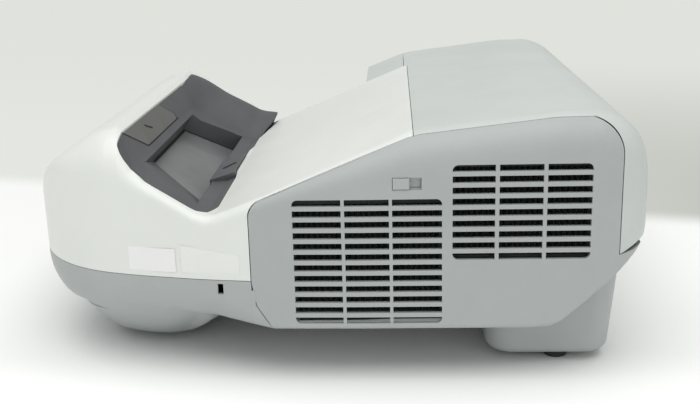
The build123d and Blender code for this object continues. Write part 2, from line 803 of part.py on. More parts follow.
def sensor_plate(grow):
    """Blank cover plate let into the steep face below the crest, with slanted ends."""
    length = hypot(dish_x - crest_x, crest_z - dish_z)
    down = Vector((dish_x - crest_x) / length, 0, (dish_z - crest_z) / length)
    out = Vector(-down.Z, 0, down.X)
    start = Vector(crest_x, 0, crest_z) - out * (bezel_drop + sensor_t + grow)
    high, low = -sensor_over, sensor_reach + grow
    lean = sensor_slant / (sensor_reach + sensor_over)
    spread = grow * hypot(1, lean)
    shift = lean * (low - high)
    ends = (sensor_near_y - spread + lean * grow, sensor_far_y + spread + lean * grow)
    corners = [start + down * s + Vector(0, y, 0) for s, y in
               ((low, ends[0]), (low, ends[1]), (high, ends[1] - shift), (high, ends[0] - shift))]
    face = Face(Wire.make_polygon(corners, close=True))
    rounded = sorted(face.vertices(), key=lambda v: v.Z)[:2]
    face = face.fillet_2d(sensor_corner_r, rounded)
    return Solid.extrude(face, out * (sensor_t + grow + (4.0 if grow else 0.0)))


def sensor_panel():
    """The plate, trimmed to the edge of the surround, with a short nail slot."""
    plate = sensor_plate(0.0) & bezel_plan(0.0, 0, 200)
    steep = atan2(crest_z - dish_z, dish_x - crest_x) * 180 / pi
    return plate - Pos(-115.5, -91.5, 136.6) * Rot(0, steep, 0) * Rot(0, 0, -21) * Box(0.9, 13.0, 1.2)


def ear_section(y, share):
    """Cross section of the surround's far part; share goes from the dish to the raised far edge."""
    dish = Outline(top_corners, bezel_drop + ear_step, -1)
    crest = crest_x + 1
    raised = ear_outline(0.0, 0.0)[:4]
    tops = []
    for t in (0, 0.05, 0.1, 0.15, 0.2, 0.25, 0.31, 0.4, 0.5, 0.6, 0.7, 0.8, 0.87, 0.93, 1):
        near_x, far_x = crest + (bezel_end_x - crest) * t, crest + (ear_tip_x - crest) * t
        z = dish.height(near_x) * (1 - share) + ramp(far_x, raised) * share
        tops.append(Vector(near_x * (1 - share) + far_x * share, y, z))
    floor = bezel_base_z + 8
    below = [tops[-1], Vector(tops[-1].X - 8 * share, y, floor), Vector(crest, y, floor), tops[0]]
    return Face(Wire([Edge.make_spline(tops)] + [Edge.make_line(a, b) for a, b in zip(below, below[1:])]))


def land_pad():
    """Flat pad on the low side of the glass, with a slot in its top."""
    right = bezel_end_x - bezel_jog
    pad = plan_prism([(pad_left_x, -54.0), (pad_left_x, -104.0), (right + 1, -84.0), (right + 1, -25.0)],
                     bezel_base_z + 8, pad_z)
    slot = Pos(-69.2, -66.0, pad_z) * Rot(0, 0, pad_slot_turn) * Box(pad_slot_l, pad_slot_w, 3.0)
    return pad - slot


def window_bezel():
    """Dark surround: it follows the dish of the cover, rises to an ear and holds the sunken glass."""
    low = bezel_base_z
    under = [(crest_x, low + 8), (crest_x, crest_z + 5), (ear_tip_x, crest_z + 5), (ear_tip_x, low + 6),
             (bezel_end_x - 4, low)]
    main = body_hull(bezel_drop) & side_prism(under, bezel_near_y, bezel_turn_y)
    span = bezel_far_y - bezel_turn_y
    ear = loft([ear_section(bezel_turn_y + span * t, t * t * (3 - 2 * t)) for t in (0, 0.2, 0.5, 0.8, 1)])
    rim = glass_face(0.0, well_rise, well_near, well_far, well_right)
    well = loft([glass_face(0.0, 0.0), rim], ruled=True)
    above = loft([rim, glass_face(0.0, well_rise + 30, well_near, well_far, well_right)], ruled=True)
    seat = loft([glass_face(glass_fit, -glass_t), glass_face(glass_fit, 0.1)], ruled=True)
    aperture = loft([glass_face(-glass_ledge, -60), glass_face(-glass_ledge, 0.1)], ruled=True)
    notch = rod((pad_left_x - 0.3, -110.5, pad_z - 6), pad_notch_r, 10)
    body = (main + ear) & bezel_plan(0.0, 0, 200)
    body = body - well - above
    body = body + (land_pad() & bezel_plan(0.0, 0, 200))
    return body - seat - aperture - notch - sensor_plate(sensor_fit)


def projection_window():
    return loft([glass_face(0.0, -glass_t + glass_fit), glass_face(0.0, 0.0)], ruled=True)


def far_rim():
    """Raised edge of the white cover behind the ear, hollow from below, with a filled front corner."""
    y0 = bezel_far_y + bezel_gap + 0.1
    base = valley_z - wall
    outer = side_prism(ear_outline(0.5, base - 8), y0, hump_far_y)
    hollow = side_prism([(x, z - wall) for x, z in ear_outline(0.5, base - 8)], y0 - 1, hump_far_y - wall)
    corner = side_prism(ear_outline(0.5, base - 8), bezel_far_y - bezel_apex_r, y0 + 1)
    corner = corner & box(crest_x, crest_x + 2 + bezel_apex_r, 0, hump_far_y, base, top_z)
    return (outer - hollow) + (corner - bezel_plan(bezel_gap + 0.1, 0, 200))


def lens_barrel():
    """Stepped tube with cooling ribs near its flange; the bore is open for the light."""
    length = lens_x1 - lens_x0
    tube = rod((lens_x0, lens_y, lens_z), lens_r, lens_flange_x - lens_x0, "X")
    tail = rod((lens_flange_x, lens_y, lens_z), lens_tail_r, lens_x1 - lens_flange_x, "X")
    flange = rod((lens_flange_x, lens_y, lens_z), lens_r + 6, 4, "X")
    stop = rod((ring_x0 + ring_w + 0.3, lens_y, lens_z), lens_r + 1.5, 2, "X")
    front_stop = rod((ring_x0 - 2.3, lens_y, lens_z), lens_r + 1.5, 2, "X")
    bore = rod((lens_x0 - 1, lens_y, lens_z), lens_tail_r - 4, length + 2, "X")
    seat = rod((lens_x0 - 1, lens_y, lens_z), lens_glass_r + 0.2, lens_glass_t + 1, "X")
    saddle = box(lens_flange_x, lens_flange_x + 4, lens_y - 16, lens_y + 16, underside_z + wall + 0.1,
                 lens_z - lens_tail_r)
    return join_all(tube, [tail, flange, stop, front_stop, saddle]) - bore - seat


def lens_glass():
    """Front meniscus of the lens."""
    sphere_r = 46.0
    disc = rod((lens_x0 - 3, lens_y, lens_z), lens_glass_r, lens_glass_t + 2.8, "X")
    front = Pos(lens_x0 - 3 + sphere_r, lens_y, lens_z) * Sphere(sphere_r)
    return disc & front


def focus_ring():
    """Ring round the lens with an arm that ends in a finger tab behind the door."""
    inner = lens_r + ring_fit
    outer = inner + ring_t
    ring = rod((ring_x0, lens_y, lens_z), outer, ring_w, "X")
    x_mid = ring_x0 + ring_w / 2
    arm = box(x_mid - ring_arm_t / 2 + 1.5, x_mid + ring_arm_t / 2 + 1.5, ring_arm_y - 7.0, lens_y - lens_r - 1,
              lens_z - ring_arm_w / 2, lens_z + ring_arm_w / 2)
    tab = box(x_mid - 2.0, x_mid + 4.5, ring_arm_y - 8.5, ring_arm_y - 6.0, lens_z - 5, lens_z + 5)
    bore = rod((ring_x0 - 1, lens_y, lens_z), inner, ring_w + 2, "X")
    return ring + arm + tab - bore


def concave_mirror():
    """Slice of a spherical shell that faces the lens."""
    centre = (mirror_x + mirror_r, lens_y, lens_z)
    shell = Pos(*centre) * Sphere(mirror_r + mirror_t) - Pos(*centre) * Sphere(mirror_r)
    return shell & box(mirror_x - 20, mirror_x + 60, lens_y - mirror_half_y, lens_y + mirror_half_y,
                       mirror_z0, mirror_z1)


def mirror_bracket():
    """Cast carrier: a foot plate and two ribs under the mirror's lower edge."""
    floor_z = underside_z + wall + 0.1
    base = box(mirror_x - 6, mirror_x + 34, lens_y - 56, lens_y + 56, floor_z, floor_z + bracket_t)
    shelf = box(mirror_x - 6, mirror_x + 22, lens_y - 60, lens_y + 60, mirror_z0 - 3.2, mirror_z0 - 0.2)
    ribs = []
    for k in range(5):
        y = lens_y - 48 + 24 * k
        rib = side_prism([(mirror_x - 6, floor_z), (mirror_x + 30, floor_z), (mirror_x + 18, mirror_z0 - 1),
                          (mirror_x - 6, mirror_z0 - 1)], y - 1.5, y + 1.5)
        ribs.append(rib)
    return join_all(base, [shelf] + ribs)


def optical_block():
    """Light engine housing with a sloped lid, ribs and three feet."""
    body = side_prism([(block_x0, block_z0), (block_x1, block_z0), (block_x1, block_z1 - 18),
                       (block_x1 - 20, block_z1), (block_x0, block_z1 - 6)], block_y0, block_y1)
    ribs = [box(block_x0 + 8, block_x1 - 24, y - 1, y + 1, block_z1 - 6, block_z1 + 3)
            for y in (block_y0 + 12, (block_y0 + block_y1) / 2, block_y1 - 12)]
    floor_z = underside_z + wall + 0.1
    feet = [box(x - 5, x + 5, y - 6, y + 6, floor_z, block_z0 + 1)
            for x, y in ((block_x0 + 8, block_y0 + 12), (block_x0 + 8, block_y1 - 12),
                         (block_x1 - 12, (block_y0 + block_y1) / 2))]
    path = box(block_x0 - 1, block_x0 + 14, lens_y - 14, lens_y + 14, lens_z - 14, lens_z + 14)
    return join_all(body, ribs + feet) - path


def heat_sink():
    """Base plate against the light engine with straight fins."""
    x0 = block_x1 + 0.1
    plate = box(x0, x0 + 3, block_y0 + 8, block_y1 - 24, block_z0 + 2, block_z1 - 20)
    span = block_y1 - block_y0 - 34
    fins = []
    for k in range(sink_fins):
        y = block_y0 + 9 + k * span / (sink_fins - 1)
        fins.append(box(x0 + 2.5, x0 + sink_l, y - sink_fin_t / 2, y + sink_fin_t / 2, block_z0 + 2, block_z1 - 20))
    return join_all(plate, fins)


def lamp_floor_z():
    return underside_z + wall + 0.1


def lamp_mouth_z():
    return (lamp_floor_z() + lamp_top_z - 4) / 2


def lamp_housing():
    """Lamp carrier with a round light mouth, a bevelled lower edge and a grip on top."""
    floor_z, lid_z = lamp_floor_z(), lamp_top_z - 4
    bevel = lamp_chamfer

    def shell_profile(t):
        wire = Wire.make_polygon([
            Vector(lamp_x0 + t, lamp_y0 + t, floor_z + t), Vector(lamp_x0 + t, lamp_y1 - bevel, floor_z + t),
            Vector(lamp_x0 + t, lamp_y1 - t, floor_z + bevel), Vector(lamp_x0 + t, lamp_y1 - t, lid_z - t),
            Vector(lamp_x0 + t, lamp_y0 + t, lid_z - t)], close=True)
        return Solid.extrude(Face(wire), Vector(lamp_x1 - lamp_x0 - 2 * t, 0, 0))

    mouth = rod((lamp_mouth_x, lamp_y0 - 1, lamp_mouth_z()), 15.0, 6, "Y")
    mid_x = (lamp_x0 + lamp_x1) / 2
    grip = box(mid_x - 22, mid_x + 22, lamp_y1 - 14, lamp_y1 - 10, lid_z - 1, lamp_top_z)
    grip = grip - box(mid_x - 16, mid_x + 16, lamp_y1 - 15, lamp_y1 - 9, lid_z, lamp_top_z - 1.6)
    return shell_profile(0.0) - shell_profile(3.0) - mouth + grip


def lamp_reflector():
    """Bowl reflector with a neck, seated against the mouth of the housing."""
    r = 16.5
    with BuildPart() as bowl:
        with BuildSketch(Plane.XY):
            with BuildLine():
                Bezier((0, 38), (11, 36), (r, 22), (r, 0))
                Line((r, 0), (r - 1.6, 0))
                Bezier((r - 1.6, 0), (r - 2.4, 20), (8, 33), (3, 35))
                Line((3, 35), (3, 33))
                Line((3, 33), (0, 33))
                Line((0, 33), (0, 38))
            make_face()
        revolve(axis=Axis.Y)
    neck = rod((0, 36, 0), 5, 12, "Y")
    return Pos(lamp_mouth_x, lamp_y0 + 3.1, lamp_mouth_z()) * (bowl.part + neck)


def light_tunnel():
    """Square tube from the lamp mouth to the light engine, with a foot."""
    x, z = lamp_mouth_x, lamp_mouth_z()
    y0, y1 = block_y1 + 0.1, lamp_y0 - 0.1
    tunnel = box(x - 9, x + 9, y0, y1, z - 8, z + 8) - box(x - 7.5, x + 7.5, y0 - 1, y1 + 1, z - 6.5, z + 6.5)
    flange = box(x - 13, x + 13, y1 - 3, y1, z - 12, z + 12) - box(x - 7.5, x + 7.5, y1 - 4, y1 + 1, z - 6.5, z + 6.5)
    foot = box(x - 5, x + 5, y0 + 40, y0 + 46, lamp_floor_z(), z - 7)
    return join_all(tunnel, [flange, foot])


def board(x0, x1, y0, y1, z, blocks, thickness=1.6):
    """Printed board with its larger components; blocks are (x, y, length, width, height)."""
    plate = box(x0, x1, y0, y1, z, z + thickness)
    tall = [box(x - l / 2, x + l / 2, y - w / 2, y + w / 2, z + thickness - 0.1, z + thickness + h)
            for x, y, l, w, h in blocks]
    return join_all(plate, tall)


def fan_frame(spot, size, foot_z=None, to_wall=False):
    """Square fan housing with a round duct and a three-armed motor mount."""
    x, y, z = spot
    half = size / 2
    frame = box(x - half, x + half, y - fan_depth / 2, y + fan_depth / 2, z - half, z + half)
    frame = frame - rod((x, y - fan_depth / 2 - 1, z), half - fan_wall, fan_depth + 2, "Y")
    back = y + fan_depth / 2
    hub_r = (half - fan_wall) * fan_hub_ratio
    spider = rod((x, back - 2, z), hub_r, 2, "Y")
    arms = [Pos(x, back - 1, z) * Rot(0, a, 0) * box(0, half - 1, -1, 1, -1.5, 1.5) for a in (30, 150, 270)]
    shaft = rod((x, back - fan_depth * 0.55, z), 1.5, fan_depth * 0.55 - 1, "Y")
    frame = join_all(frame, [spider] + arms + [shaft])
    if foot_z is not None:
        frame = join_all(frame, [box(x + s * (half - 8) - 4, x + s * (half - 8) + 4, y - 6, y + 6, foot_z,
                                     z - half + 1) for s in (-1, 1)])
    if to_wall:
        for px in (x - half + 6, x + half - 6):
            reach = plan_half_width(px + 2.5, wall) - post_wall_gap - back + 1
            frame = join_all(frame, [rod((px, back - 1, z + b * (half - 6)), 2.5, reach, "Y") for b in (-1, 1)])
    return frame


def fan_rotor(spot, size):
    """Hub cup with pitched blades, trimmed to the duct."""
    x, y, z = spot
    tip = size / 2 - fan_wall - fan_tip_gap
    hub_r = (size / 2 - fan_wall) * fan_hub_ratio
    front = -fan_depth / 2 + 1.0
    length = fan_depth - 2 - 1.0 - fan_hub_gap
    hub = rod((0, front, 0), hub_r, length, "Y")
    blades = []
    for k in range(fan_blades):
        blade = Pos((hub_r + tip) / 2 - 0.5, front + length / 2, 0) * Rot(blade_pitch, 0, 0)
        blade = blade * Box(tip - hub_r + 3, blade_t, length * 1.15)
        blades.append(Rot(0, 360 * k / fan_blades, 0) * blade)
    ring = rod((0, front + 0.4, 0), tip, length - 0.8, "Y")
    fan = join_all(hub, [b & ring for b in blades])
    bore = rod((0, -2, 0), 1.5 + 0.06, fan_depth, "Y")
    return Pos(x, y, z) * (fan - bore)


def exhaust_cutters():
    cutters = []
    half = (exhaust_x1 - exhaust_x0) / 2
    middle = (exhaust_x0 + exhaust_x1) / 2
    for row in range(exhaust_rows):
        z = exhaust_z0 + 2 + row * slot_pitch
        for x0, x1 in ((exhaust_x0, middle - 1), (middle + 1, exhaust_x0 + 2 * half)):
            cutters.append(box(x0, x1, half_width - wall - 2, half_width + 1, z - slot_h / 2, z + slot_h / 2))
    return cutters


def port_tray():
    """Recessed panel of the connectors with its side walls."""
    depth_y = half_width - ports_depth
    outer = box(ports_x0 - 1.5, ports_x1 + 1.5, depth_y - port_panel_t, half_width - wall - 0.1,
                ports_z0 - 1.5, ports_z1 + 1.5)
    tray = outer - box(ports_x0, ports_x1, depth_y, half_width + 1, ports_z0, ports_z1)
    for x, z, w, h in port_windows():
        tray = tray - box(x - w / 2, x + w / 2, depth_y - 5, depth_y + 5, z - h / 2, z + h / 2)
    for x, z in audio_spots():
        tray = tray - rod((x, depth_y - 5, z), 4.0, 10, "Y")
    posts = [rod((x, main_board_y + 1.7, z), 2.0, depth_y - port_panel_t - main_board_y - 1.6, "Y")
             for x in (ports_x0 + 1.5, ports_x1 - 7) for z in (ports_z0 + 0.5, ports_z1 - 0.5)]
    return join_all(tray, posts)


vga_spots = ((75.0, 116.5), (75.0, 100.5))
hdmi_spot = (104.5, 117.5)
usb_spot = (104.5, 103.5)
lan_spot = (106.2, 80.0)
inlet_spot = (75.0, 79.5)
vga_size = (17.6, 9.2)
hdmi_size = (15.2, 6.2)
usb_size = (13.4, 6.0)
lan_size = (15.6, 13.4)
inlet_size = (28.0, 20.4)


def audio_spots():
    return ((93.5, 92.5), (93.5, 76.0))


def port_windows():
    clear = 0.3
    windows = [(x, z, vga_size[0] + clear, vga_size[1] + clear) for x, z in vga_spots]
    for spot, size in ((hdmi_spot, hdmi_size), (usb_spot, usb_size), (lan_spot, lan_size), (inlet_spot, inlet_size)):
        windows.append((*spot, size[0] + clear, size[1] + clear))
    return windows


def socket_shell(spot, size, proud, deep, rim, taper=0.0):
    """Connector shell with an open mouth that faces +Y."""
    x, z = spot
    w, h = size
    mouth = half_width - ports_depth
    y0, y1 = mouth - deep, mouth + proud
    corners = [(x - w / 2 + taper, z - h / 2), (x + w / 2 - taper, z - h / 2), (x + w / 2, z + h / 2),
               (x - w / 2, z + h / 2)]
    shell = side_prism(corners, y0, y1)
    inner = [(x - w / 2 + taper + rim, z - h / 2 + rim), (x + w / 2 - taper - rim, z - h / 2 + rim),
             (x + w / 2 - rim, z + h / 2 - rim), (x - w / 2 + rim, z + h / 2 - rim)]
    return shell - side_prism(inner, mouth - deep + 3, y1 + 1)


def vga_ports():
    shells = []
    for x, z in vga_spots:
        shell = socket_shell((x, z), vga_size, 4.0, 9.0, 0.8, 1.4)
        mouth = half_width - ports_depth
        core = side_prism([(x - 5.6, z - 2.6), (x + 5.6, z - 2.6), (x + 6.6, z + 2.6), (x - 6.6, z + 2.6)],
                          mouth - 7, mouth + 2.4)
        nuts = [rod((x + s * 12.5, mouth + 0.05, z), 2.6, 4.5, "Y") for s in (-1, 1)]
        shells += [shell + core] + nuts
    return Compound(children=shells)


def digital_ports():
    shells = []
    mouth = half_width - ports_depth
    for spot, size, tongue in ((hdmi_spot, hdmi_size, 1.0), (usb_spot, usb_size, 1.8)):
        shell = socket_shell(spot, size, 1.0, 10.0, 0.6)
        x, z = spot
        blade = box(x - size[0] / 2 + 1.6, x + size[0] / 2 - 1.6, mouth - 9, mouth - 0.6, z - tongue / 2, z + tongue / 2)
        shells.append(shell + blade)
    x, z = lan_spot
    shell = socket_shell(lan_spot, lan_size, 1.0, 14.0, 1.2)
    notch = box(x - 3, x + 3, mouth - 6, mouth + 3, z - lan_size[1] / 2 - 1, z - lan_size[1] / 2 + 1.5)
    shells.append(shell - notch)
    return Compound(children=shells)


def audio_jacks():
    mouth = half_width - ports_depth
    jacks = []
    for x, z in audio_spots():
        jack = rod((x, mouth - 10, z), 3.8, 11.5, "Y") - rod((x, mouth - 6, z), 1.8, 12, "Y")
        jacks.append(jack)
    return Compound(children=jacks)


def power_inlet():
    """Three-pin inlet: a shell with clipped lower corners and three blades."""
    x, z = inlet_spot
    w, h = inlet_size
    mouth = half_width - ports_depth
    outline = [(x - w / 2, z + h / 2), (x + w / 2, z + h / 2), (x + w / 2, z - h / 2), (x - w / 2, z - h / 2)]
    body = side_prism(outline, mouth - 16, mouth + 1.2)
    cavity = [(x - 11.9, z + 7.8), (x + 11.9, z + 7.8), (x + 11.9, z - 3.4), (x + 7.4, z - 7.8),
              (x - 7.4, z - 7.8), (x - 11.9, z - 3.4)]
    body = body - side_prism(cavity, mouth - 14, mouth + 3)
    pins = [box(x + dx - 1, x + dx + 1, mouth - 15, mouth - 2, z + dz - 2, z + dz + 2)
            for dx, dz in ((-7, -1.5), (0, 2.5), (7, -1.5))]
    return join_all(body, pins)


def key_table():
    """Name, centre and size of each key on the deck; a round key has its radius as size."""
    step = key_pad_step
    return {
        "power_key": (-160.0, 108.0, 6.5, None),
        "source_key": (-152.0, 126.0, key_l, key_h),
        "help_key": (-143.5, 138.0, key_l, key_h),
        "enter_key": (key_pad_x, key_pad_y, 6.5, None),
        "up_key": (key_pad_x, key_pad_y + step, key_l, key_h),
        "down_key": (key_pad_x, key_pad_y - step, key_l, key_h),
        "left_key": (key_pad_x - step, key_pad_y, key_h, key_l),
        "right_key": (key_pad_x + step, key_pad_y, key_h, key_l),
        "menu_key": (-72.0, key_pad_y + step, key_l, key_h),
        "escape_key": (-72.0, key_pad_y - step, key_l, key_h),
    }


def key_prism(spot, grow, z0, z1):
    x, y, a, b = spot
    if b is None:
        return rod((x, y, z0), a + grow, z1 - z0)
    face = Pos(x, y, z0) * RectangleRounded(a + 2 * grow, b + 2 * grow, 1.5 + max(grow, 0))
    return Solid.extrude(face.face(), Vector(0, 0, z1 - z0))


def key_cap(spot):
    inner_z = deck_z - wall
    cap = key_prism(spot, 0.0, inner_z - 1.0, deck_z + key_proud)
    cap = cap.fillet(0.5, [e for e in cap.edges() if abs(e.center().Z - deck_z - key_proud) < 0.05])
    flange_top = inner_z - key_rest_gap
    flange = key_prism(spot, key_flange, flange_top - key_flange_t, flange_top)
    stem = rod((spot[0], spot[1], deck_z + key_proud - 1.0 - key_depth), 2.0, key_depth)
    return cap + flange + stem


def key_stem_bottom():
    return deck_z + key_proud - 1.0 - key_depth


def key_board():
    """Board below the keys with one small switch under each of them."""
    switch_top = key_stem_bottom() - key_travel - key_rest_gap
    board_z = switch_top - 3.0 - key_board_t
    plate = plan_prism([(-170, 93), (-170, 126), (-158, 140), (-140, 152), (-120, 160), (-58, 160), (-58, 93)],
                       board_z, board_z + key_board_t)
    switches = [box(x - 3, x + 3, y - 3, y + 3, board_z + key_board_t - 0.1, switch_top)
                for x, y, _, _ in key_table().values()]
    return join_all(plate, switches)


def key_board_top():
    return key_stem_bottom() - key_travel - key_rest_gap - 3.0


deck_posts = ((-164.0, 119.0), (-64.0, 104.0), (-62.0, 136.0), (-123.5, 155.5), (-128.0, 104.0))


def lamp_door_region(gap):
    """Space of the lamp cover: a step over the deck and the rear block."""
    return box(lamp_bay_x + gap, lamp_bay_end_x - gap, hump_far_y + 0.2 + gap, half_width + 5,
               lamp_bay_z + gap, top_z + 5)


def foot_unit(x, y, pad_r):
    """Screw-in foot: rubber pad, collar and threaded stem."""
    pad = rod((x, y, 0), pad_r, pod_floor_z - 0.4)
    pad = pad.fillet(0.8, [e for e in pad.edges() if e.center().Z < 0.1])
    stem = rod((x, y, pod_floor_z - 0.6), foot_stem_r, foot_stem_l)
    return pad + stem


def foot_spots():
    return ((front_foot_x, 0.0), (rear_foot_x, -rear_foot_y), (rear_foot_x, rear_foot_y))


def tube(x, y, z0, z1, outer, inner):
    return rod((x, y, z0), outer, z1 - z0) - rod((x, y, z0 - 1), inner, z1 - z0 + 2)


def mount_spots():
    return [(mount_x + sx * mount_dx / 2, sy * mount_dy / 2) for sx in (-1, 1) for sy in (-1, 1)]


def bottom_case(shell, inner):
    """Lower shell with its two pods, bosses, hinge ears and the lock slot."""
    above = shell & box(0, half_depth + 1, -half_width - 1, half_width + 1, seam_z - seam_gap, top_z)
    case = shell & box(-half_depth - 1, half_depth + 1, -half_width - 1, half_width + 1, 0, seam_z - seam_gap / 2)
    bay = door_region(-cover_gap / 2) & box(door_x0 - 1, half_depth + 5, -half_width - 5, 0, 0, seam_z + 1)
    case = case - bay
    case = case - box(door_x0, half_depth, -half_width - 1, door_sill_y, underside_z - 1, seam_z + 1)
    lamp_space = lamp_door_region(-seam_gap)
    front_outer = soften_floor(front_pod(0.0), pod_edge_r)
    rear_outer = soften_floor(rear_pod(0.0), pod_edge_r)
    rear_outer = rear_outer - inner - above
    case = case + (front_outer - inner) + rear_outer
    case = case - front_pod(pod_wall) - rear_pod(pod_wall)
    extras = hinge_ears()
    for x, y in foot_spots():
        extras.append(tube(x, y, pod_floor_z, pod_floor_z + pod_wall + foot_insert_l, foot_insert_r + boss_wall,
                           foot_insert_r))
    for x, y in mount_spots():
        extras.append(tube(x, y, underside_z, underside_z + mount_insert_l + 1, mount_insert_r + boss_wall,
                           mount_insert_r))
    for x, y in screw_spots:
        extras.append(tube(x, y, underside_z, underside_z + screw_well_l + screw_l, screw_head_r + boss_wall,
                           screw_shank_r + 0.05))
    case = join_all(case, extras)
    drills = [rod((x, y, pod_floor_z - 1), foot_insert_r, pod_wall + foot_insert_l + 1) for x, y in foot_spots()]
    drills += [rod((x, y, underside_z - 1), mount_insert_r, mount_insert_l + 1) for x, y in mount_spots()]
    drills += [rod((x, y, underside_z - 1), screw_head_r + 0.3, screw_well_l + 1) for x, y in screw_spots]
    drills.append(box(lock_x - lock_w / 2, lock_x + lock_w / 2, -half_width - 2, -half_width + 16,
                      lock_z - lock_h / 2, lock_z + lock_h / 2 - 0.5))
    case = cut_all(case, drills)
    return case - lamp_space if lamp_bay_z < seam_z else case


def cover_bosses(inner, spots):
    """Screw towers that come down from a cover to the tubes of the bottom case."""
    low = underside_z + screw_well_l + screw_l + 0.2
    towers = [tube(x, y, low, top_z, screw_head_r + boss_wall, screw_shank_r - 0.3) for x, y in spots]
    return [tower & inner for tower in towers]


def front_cover(shell, inner):
    """White cover: mirror dome, window opening and the slope up to the hood."""
    region = box(-half_depth - 1, hood_x - seam_gap / 2, -half_width - 1, hump_far_y, seam_z + seam_gap / 2, top_z + 5)
    cover = shell & region
    cover = cover - door_region(-cover_gap / 2) - bezel_plan(bezel_gap, bezel_base_z - 6, 200)
    towers = cover_bosses(inner, [spot for spot in screw_spots if spot[0] < hood_x and spot[1] < hump_far_y])
    return join_all(cover - receiver_window(0.0), [far_rim()] + towers)


def receiver_window(gap):
    x0 = -half_depth - 1
    return box(x0, x0 + wall + 4, 22 + gap, 42 - gap, 74 + gap, 84 - gap)


def remote_receiver(shell):
    """Dark window that follows the front face, with its sensor block behind."""
    lens = shell & receiver_window(0.3)
    return lens + box(-half_depth + wall - 1, -half_depth + wall + 5, 26, 38, 75.5, 82.5)


def control_deck(shell, inner):
    """Low far-side cover with the key holes, hanging posts for the key board and an air slot row."""
    region = box(-half_depth - 1, lamp_bay_x - seam_gap / 2, hump_far_y + seam_gap / 2, half_width + 1,
                 seam_z + seam_gap / 2, deck_z + 1)
    deck = shell & region
    holes = [key_prism(spot, key_gap, deck_z - wall - 1, deck_z + 1) for spot in key_table().values()]
    holes += [rod((x, y, deck_z - wall - 1), 1.5, wall + 2) for x, y in light_spots()]
    deck = cut_all(deck, holes)
    posts = [rod((x, y, key_board_top()), 2.6, deck_z - wall - key_board_top() + 0.2) for x, y in deck_posts]
    reach = box(-half_depth, lamp_bay_x - 1, hump_far_y + 1, half_width, 0, deck_z)
    spots = [spot for spot in screw_spots if spot[0] < lamp_bay_x and spot[1] > hump_far_y]
    towers = [tower & reach for tower in cover_bosses(inner, spots)]
    return join_all(deck, posts + towers)


def indicator_lights():
    top = deck_z + 0.2
    return Compound(children=[rod((x, y, key_board_top() + 0.1), 1.3, top - key_board_top() - 0.1)
                              for x, y in light_spots()])


def light_spots():
    return ((-166.0, 96.5), (-152.0, 96.5), (-138.0, 96.5))


def top_cover(shell, inner):
    """Grey rear cover with the connector opening, exhaust slots and speaker slots."""
    lower = seam_z + seam_gap / 2
    main = box(hood_x + seam_gap / 2, half_depth + 1, -half_width - 1, half_width + 1, lower, top_z + 5)
    strip = box(lamp_bay_end_x + seam_gap / 2, hood_x + 1, hump_far_y + seam_gap, half_width + 1, lower, top_z + 5)
    low_far = box(lamp_bay_x, lamp_bay_end_x + 1, hump_far_y + seam_gap, half_width + 1, lower, lamp_bay_z - seam_gap)
    cover = (shell & (main + strip + low_far)) - door_region(-cover_gap / 2)
    ports = box(ports_x0, ports_x1, half_width - wall - 1, half_width + 1, ports_z0, ports_z1)
    speaker_slots = [box(half_depth - wall - 1, half_depth + 1, 60, 104, z - 1, z + 1)
                     for z in (100.0, 104.0, 108.0, 112.0, 116.0)]
    cover = cut_all(cover, exhaust_cutters() + [ports] + speaker_slots)
    return join_all(cover, cover_bosses(inner, [spot for spot in screw_spots if spot[0] > hood_x]))


def lamp_cover(shell):
    return shell & lamp_door_region(seam_gap / 2)


def lamp_screw():
    x, y = -30.0, 166.0
    head = rod((x, y, deck_z + 0.1), 3.6, 1.6)
    head = head - box(x - 3, x + 3, y - 0.5, y + 0.5, deck_z + 0.9, deck_z + 3)
    shank = rod((x, y, deck_z - wall - 1.5), 1.5, wall + 2)
    return head + shank


def case_screws():
    """Pan-head screws in the wells of the base."""
    screws = []
    seat_z = underside_z + screw_well_l
    for x, y in screw_spots:
        head = rod((x, y, seat_z - screw_head_t), screw_head_r, screw_head_t)
        head = head - box(x - 2, x + 2, y - 0.4, y + 0.4, seat_z - screw_head_t - 1, seat_z - 1)
        screws.append(head + rod((x, y, seat_z - 0.1), screw_shank_r - 0.35, screw_l + 8))
    return Compound(children=screws)


def mounting_inserts():
    return Compound(children=[tube(x, y, underside_z + 0.2, underside_z + mount_insert_l, mount_insert_r,
                                   mount_hole_r) for x, y in mount_spots()])


def foot_inserts():
    return Compound(children=[tube(x, y, pod_floor_z + 0.2, pod_floor_z + pod_wall + foot_insert_l, foot_insert_r,
                                   foot_stem_r + foot_thread_fit) for x, y in foot_spots()])


def main_board():
    """Upright board behind the connectors."""
    y = main_board_y
    plate = box(ports_x0 - 1, ports_x1 - 4.5, y, y + 1.6, ports_z0 - 3, ports_z1 + 3)
    chips = [box(x - a / 2, x + a / 2, y - h, y + 0.1, z - b / 2, z + b / 2)
             for x, z, a, b, h in ((80, 96, 26, 26, 5), (102, 84, 12, 12, 2), (102, 108, 14, 10, 2), (64, 74, 8, 14, 9))]
    return join_all(plate, chips)


def power_supply_board():
    """Board over the rear pod on four tall spacers."""
    x0, x1, y0, y1, z = 124.0, 164.0, -104.0, 60.0, 46.0
    blocks = [(144, -70, 26, 30, 30), (144, -20, 28, 24, 34), (134, 30, 12, 12, 22), (154, 30, 12, 12, 22),
              (144, 48, 24, 8, 14)]
    plate = board(x0, x1, y0, y1, z, blocks)
    spacers = [rod((x, y, pod_floor_z + pod_wall), 3, z - pod_floor_z - pod_wall + 0.2)
               for x in (x0 + 5, x1 - 5) for y in (y0 + 5, y1 - 5)]
    return join_all(plate, spacers)


def ballast_board():
    floor_z = underside_z + wall
    blocks = [(62, 34, 30, 16, 22), (50, 62, 14, 14, 26), (78, 62, 16, 22, 18)]
    plate = board(38, 90, 18, 78, floor_z + 5, blocks)
    spacers = [rod((x, y, floor_z), 2.5, 5.2) for x in (43, 85) for y in (23, 73)]
    return join_all(plate, spacers)


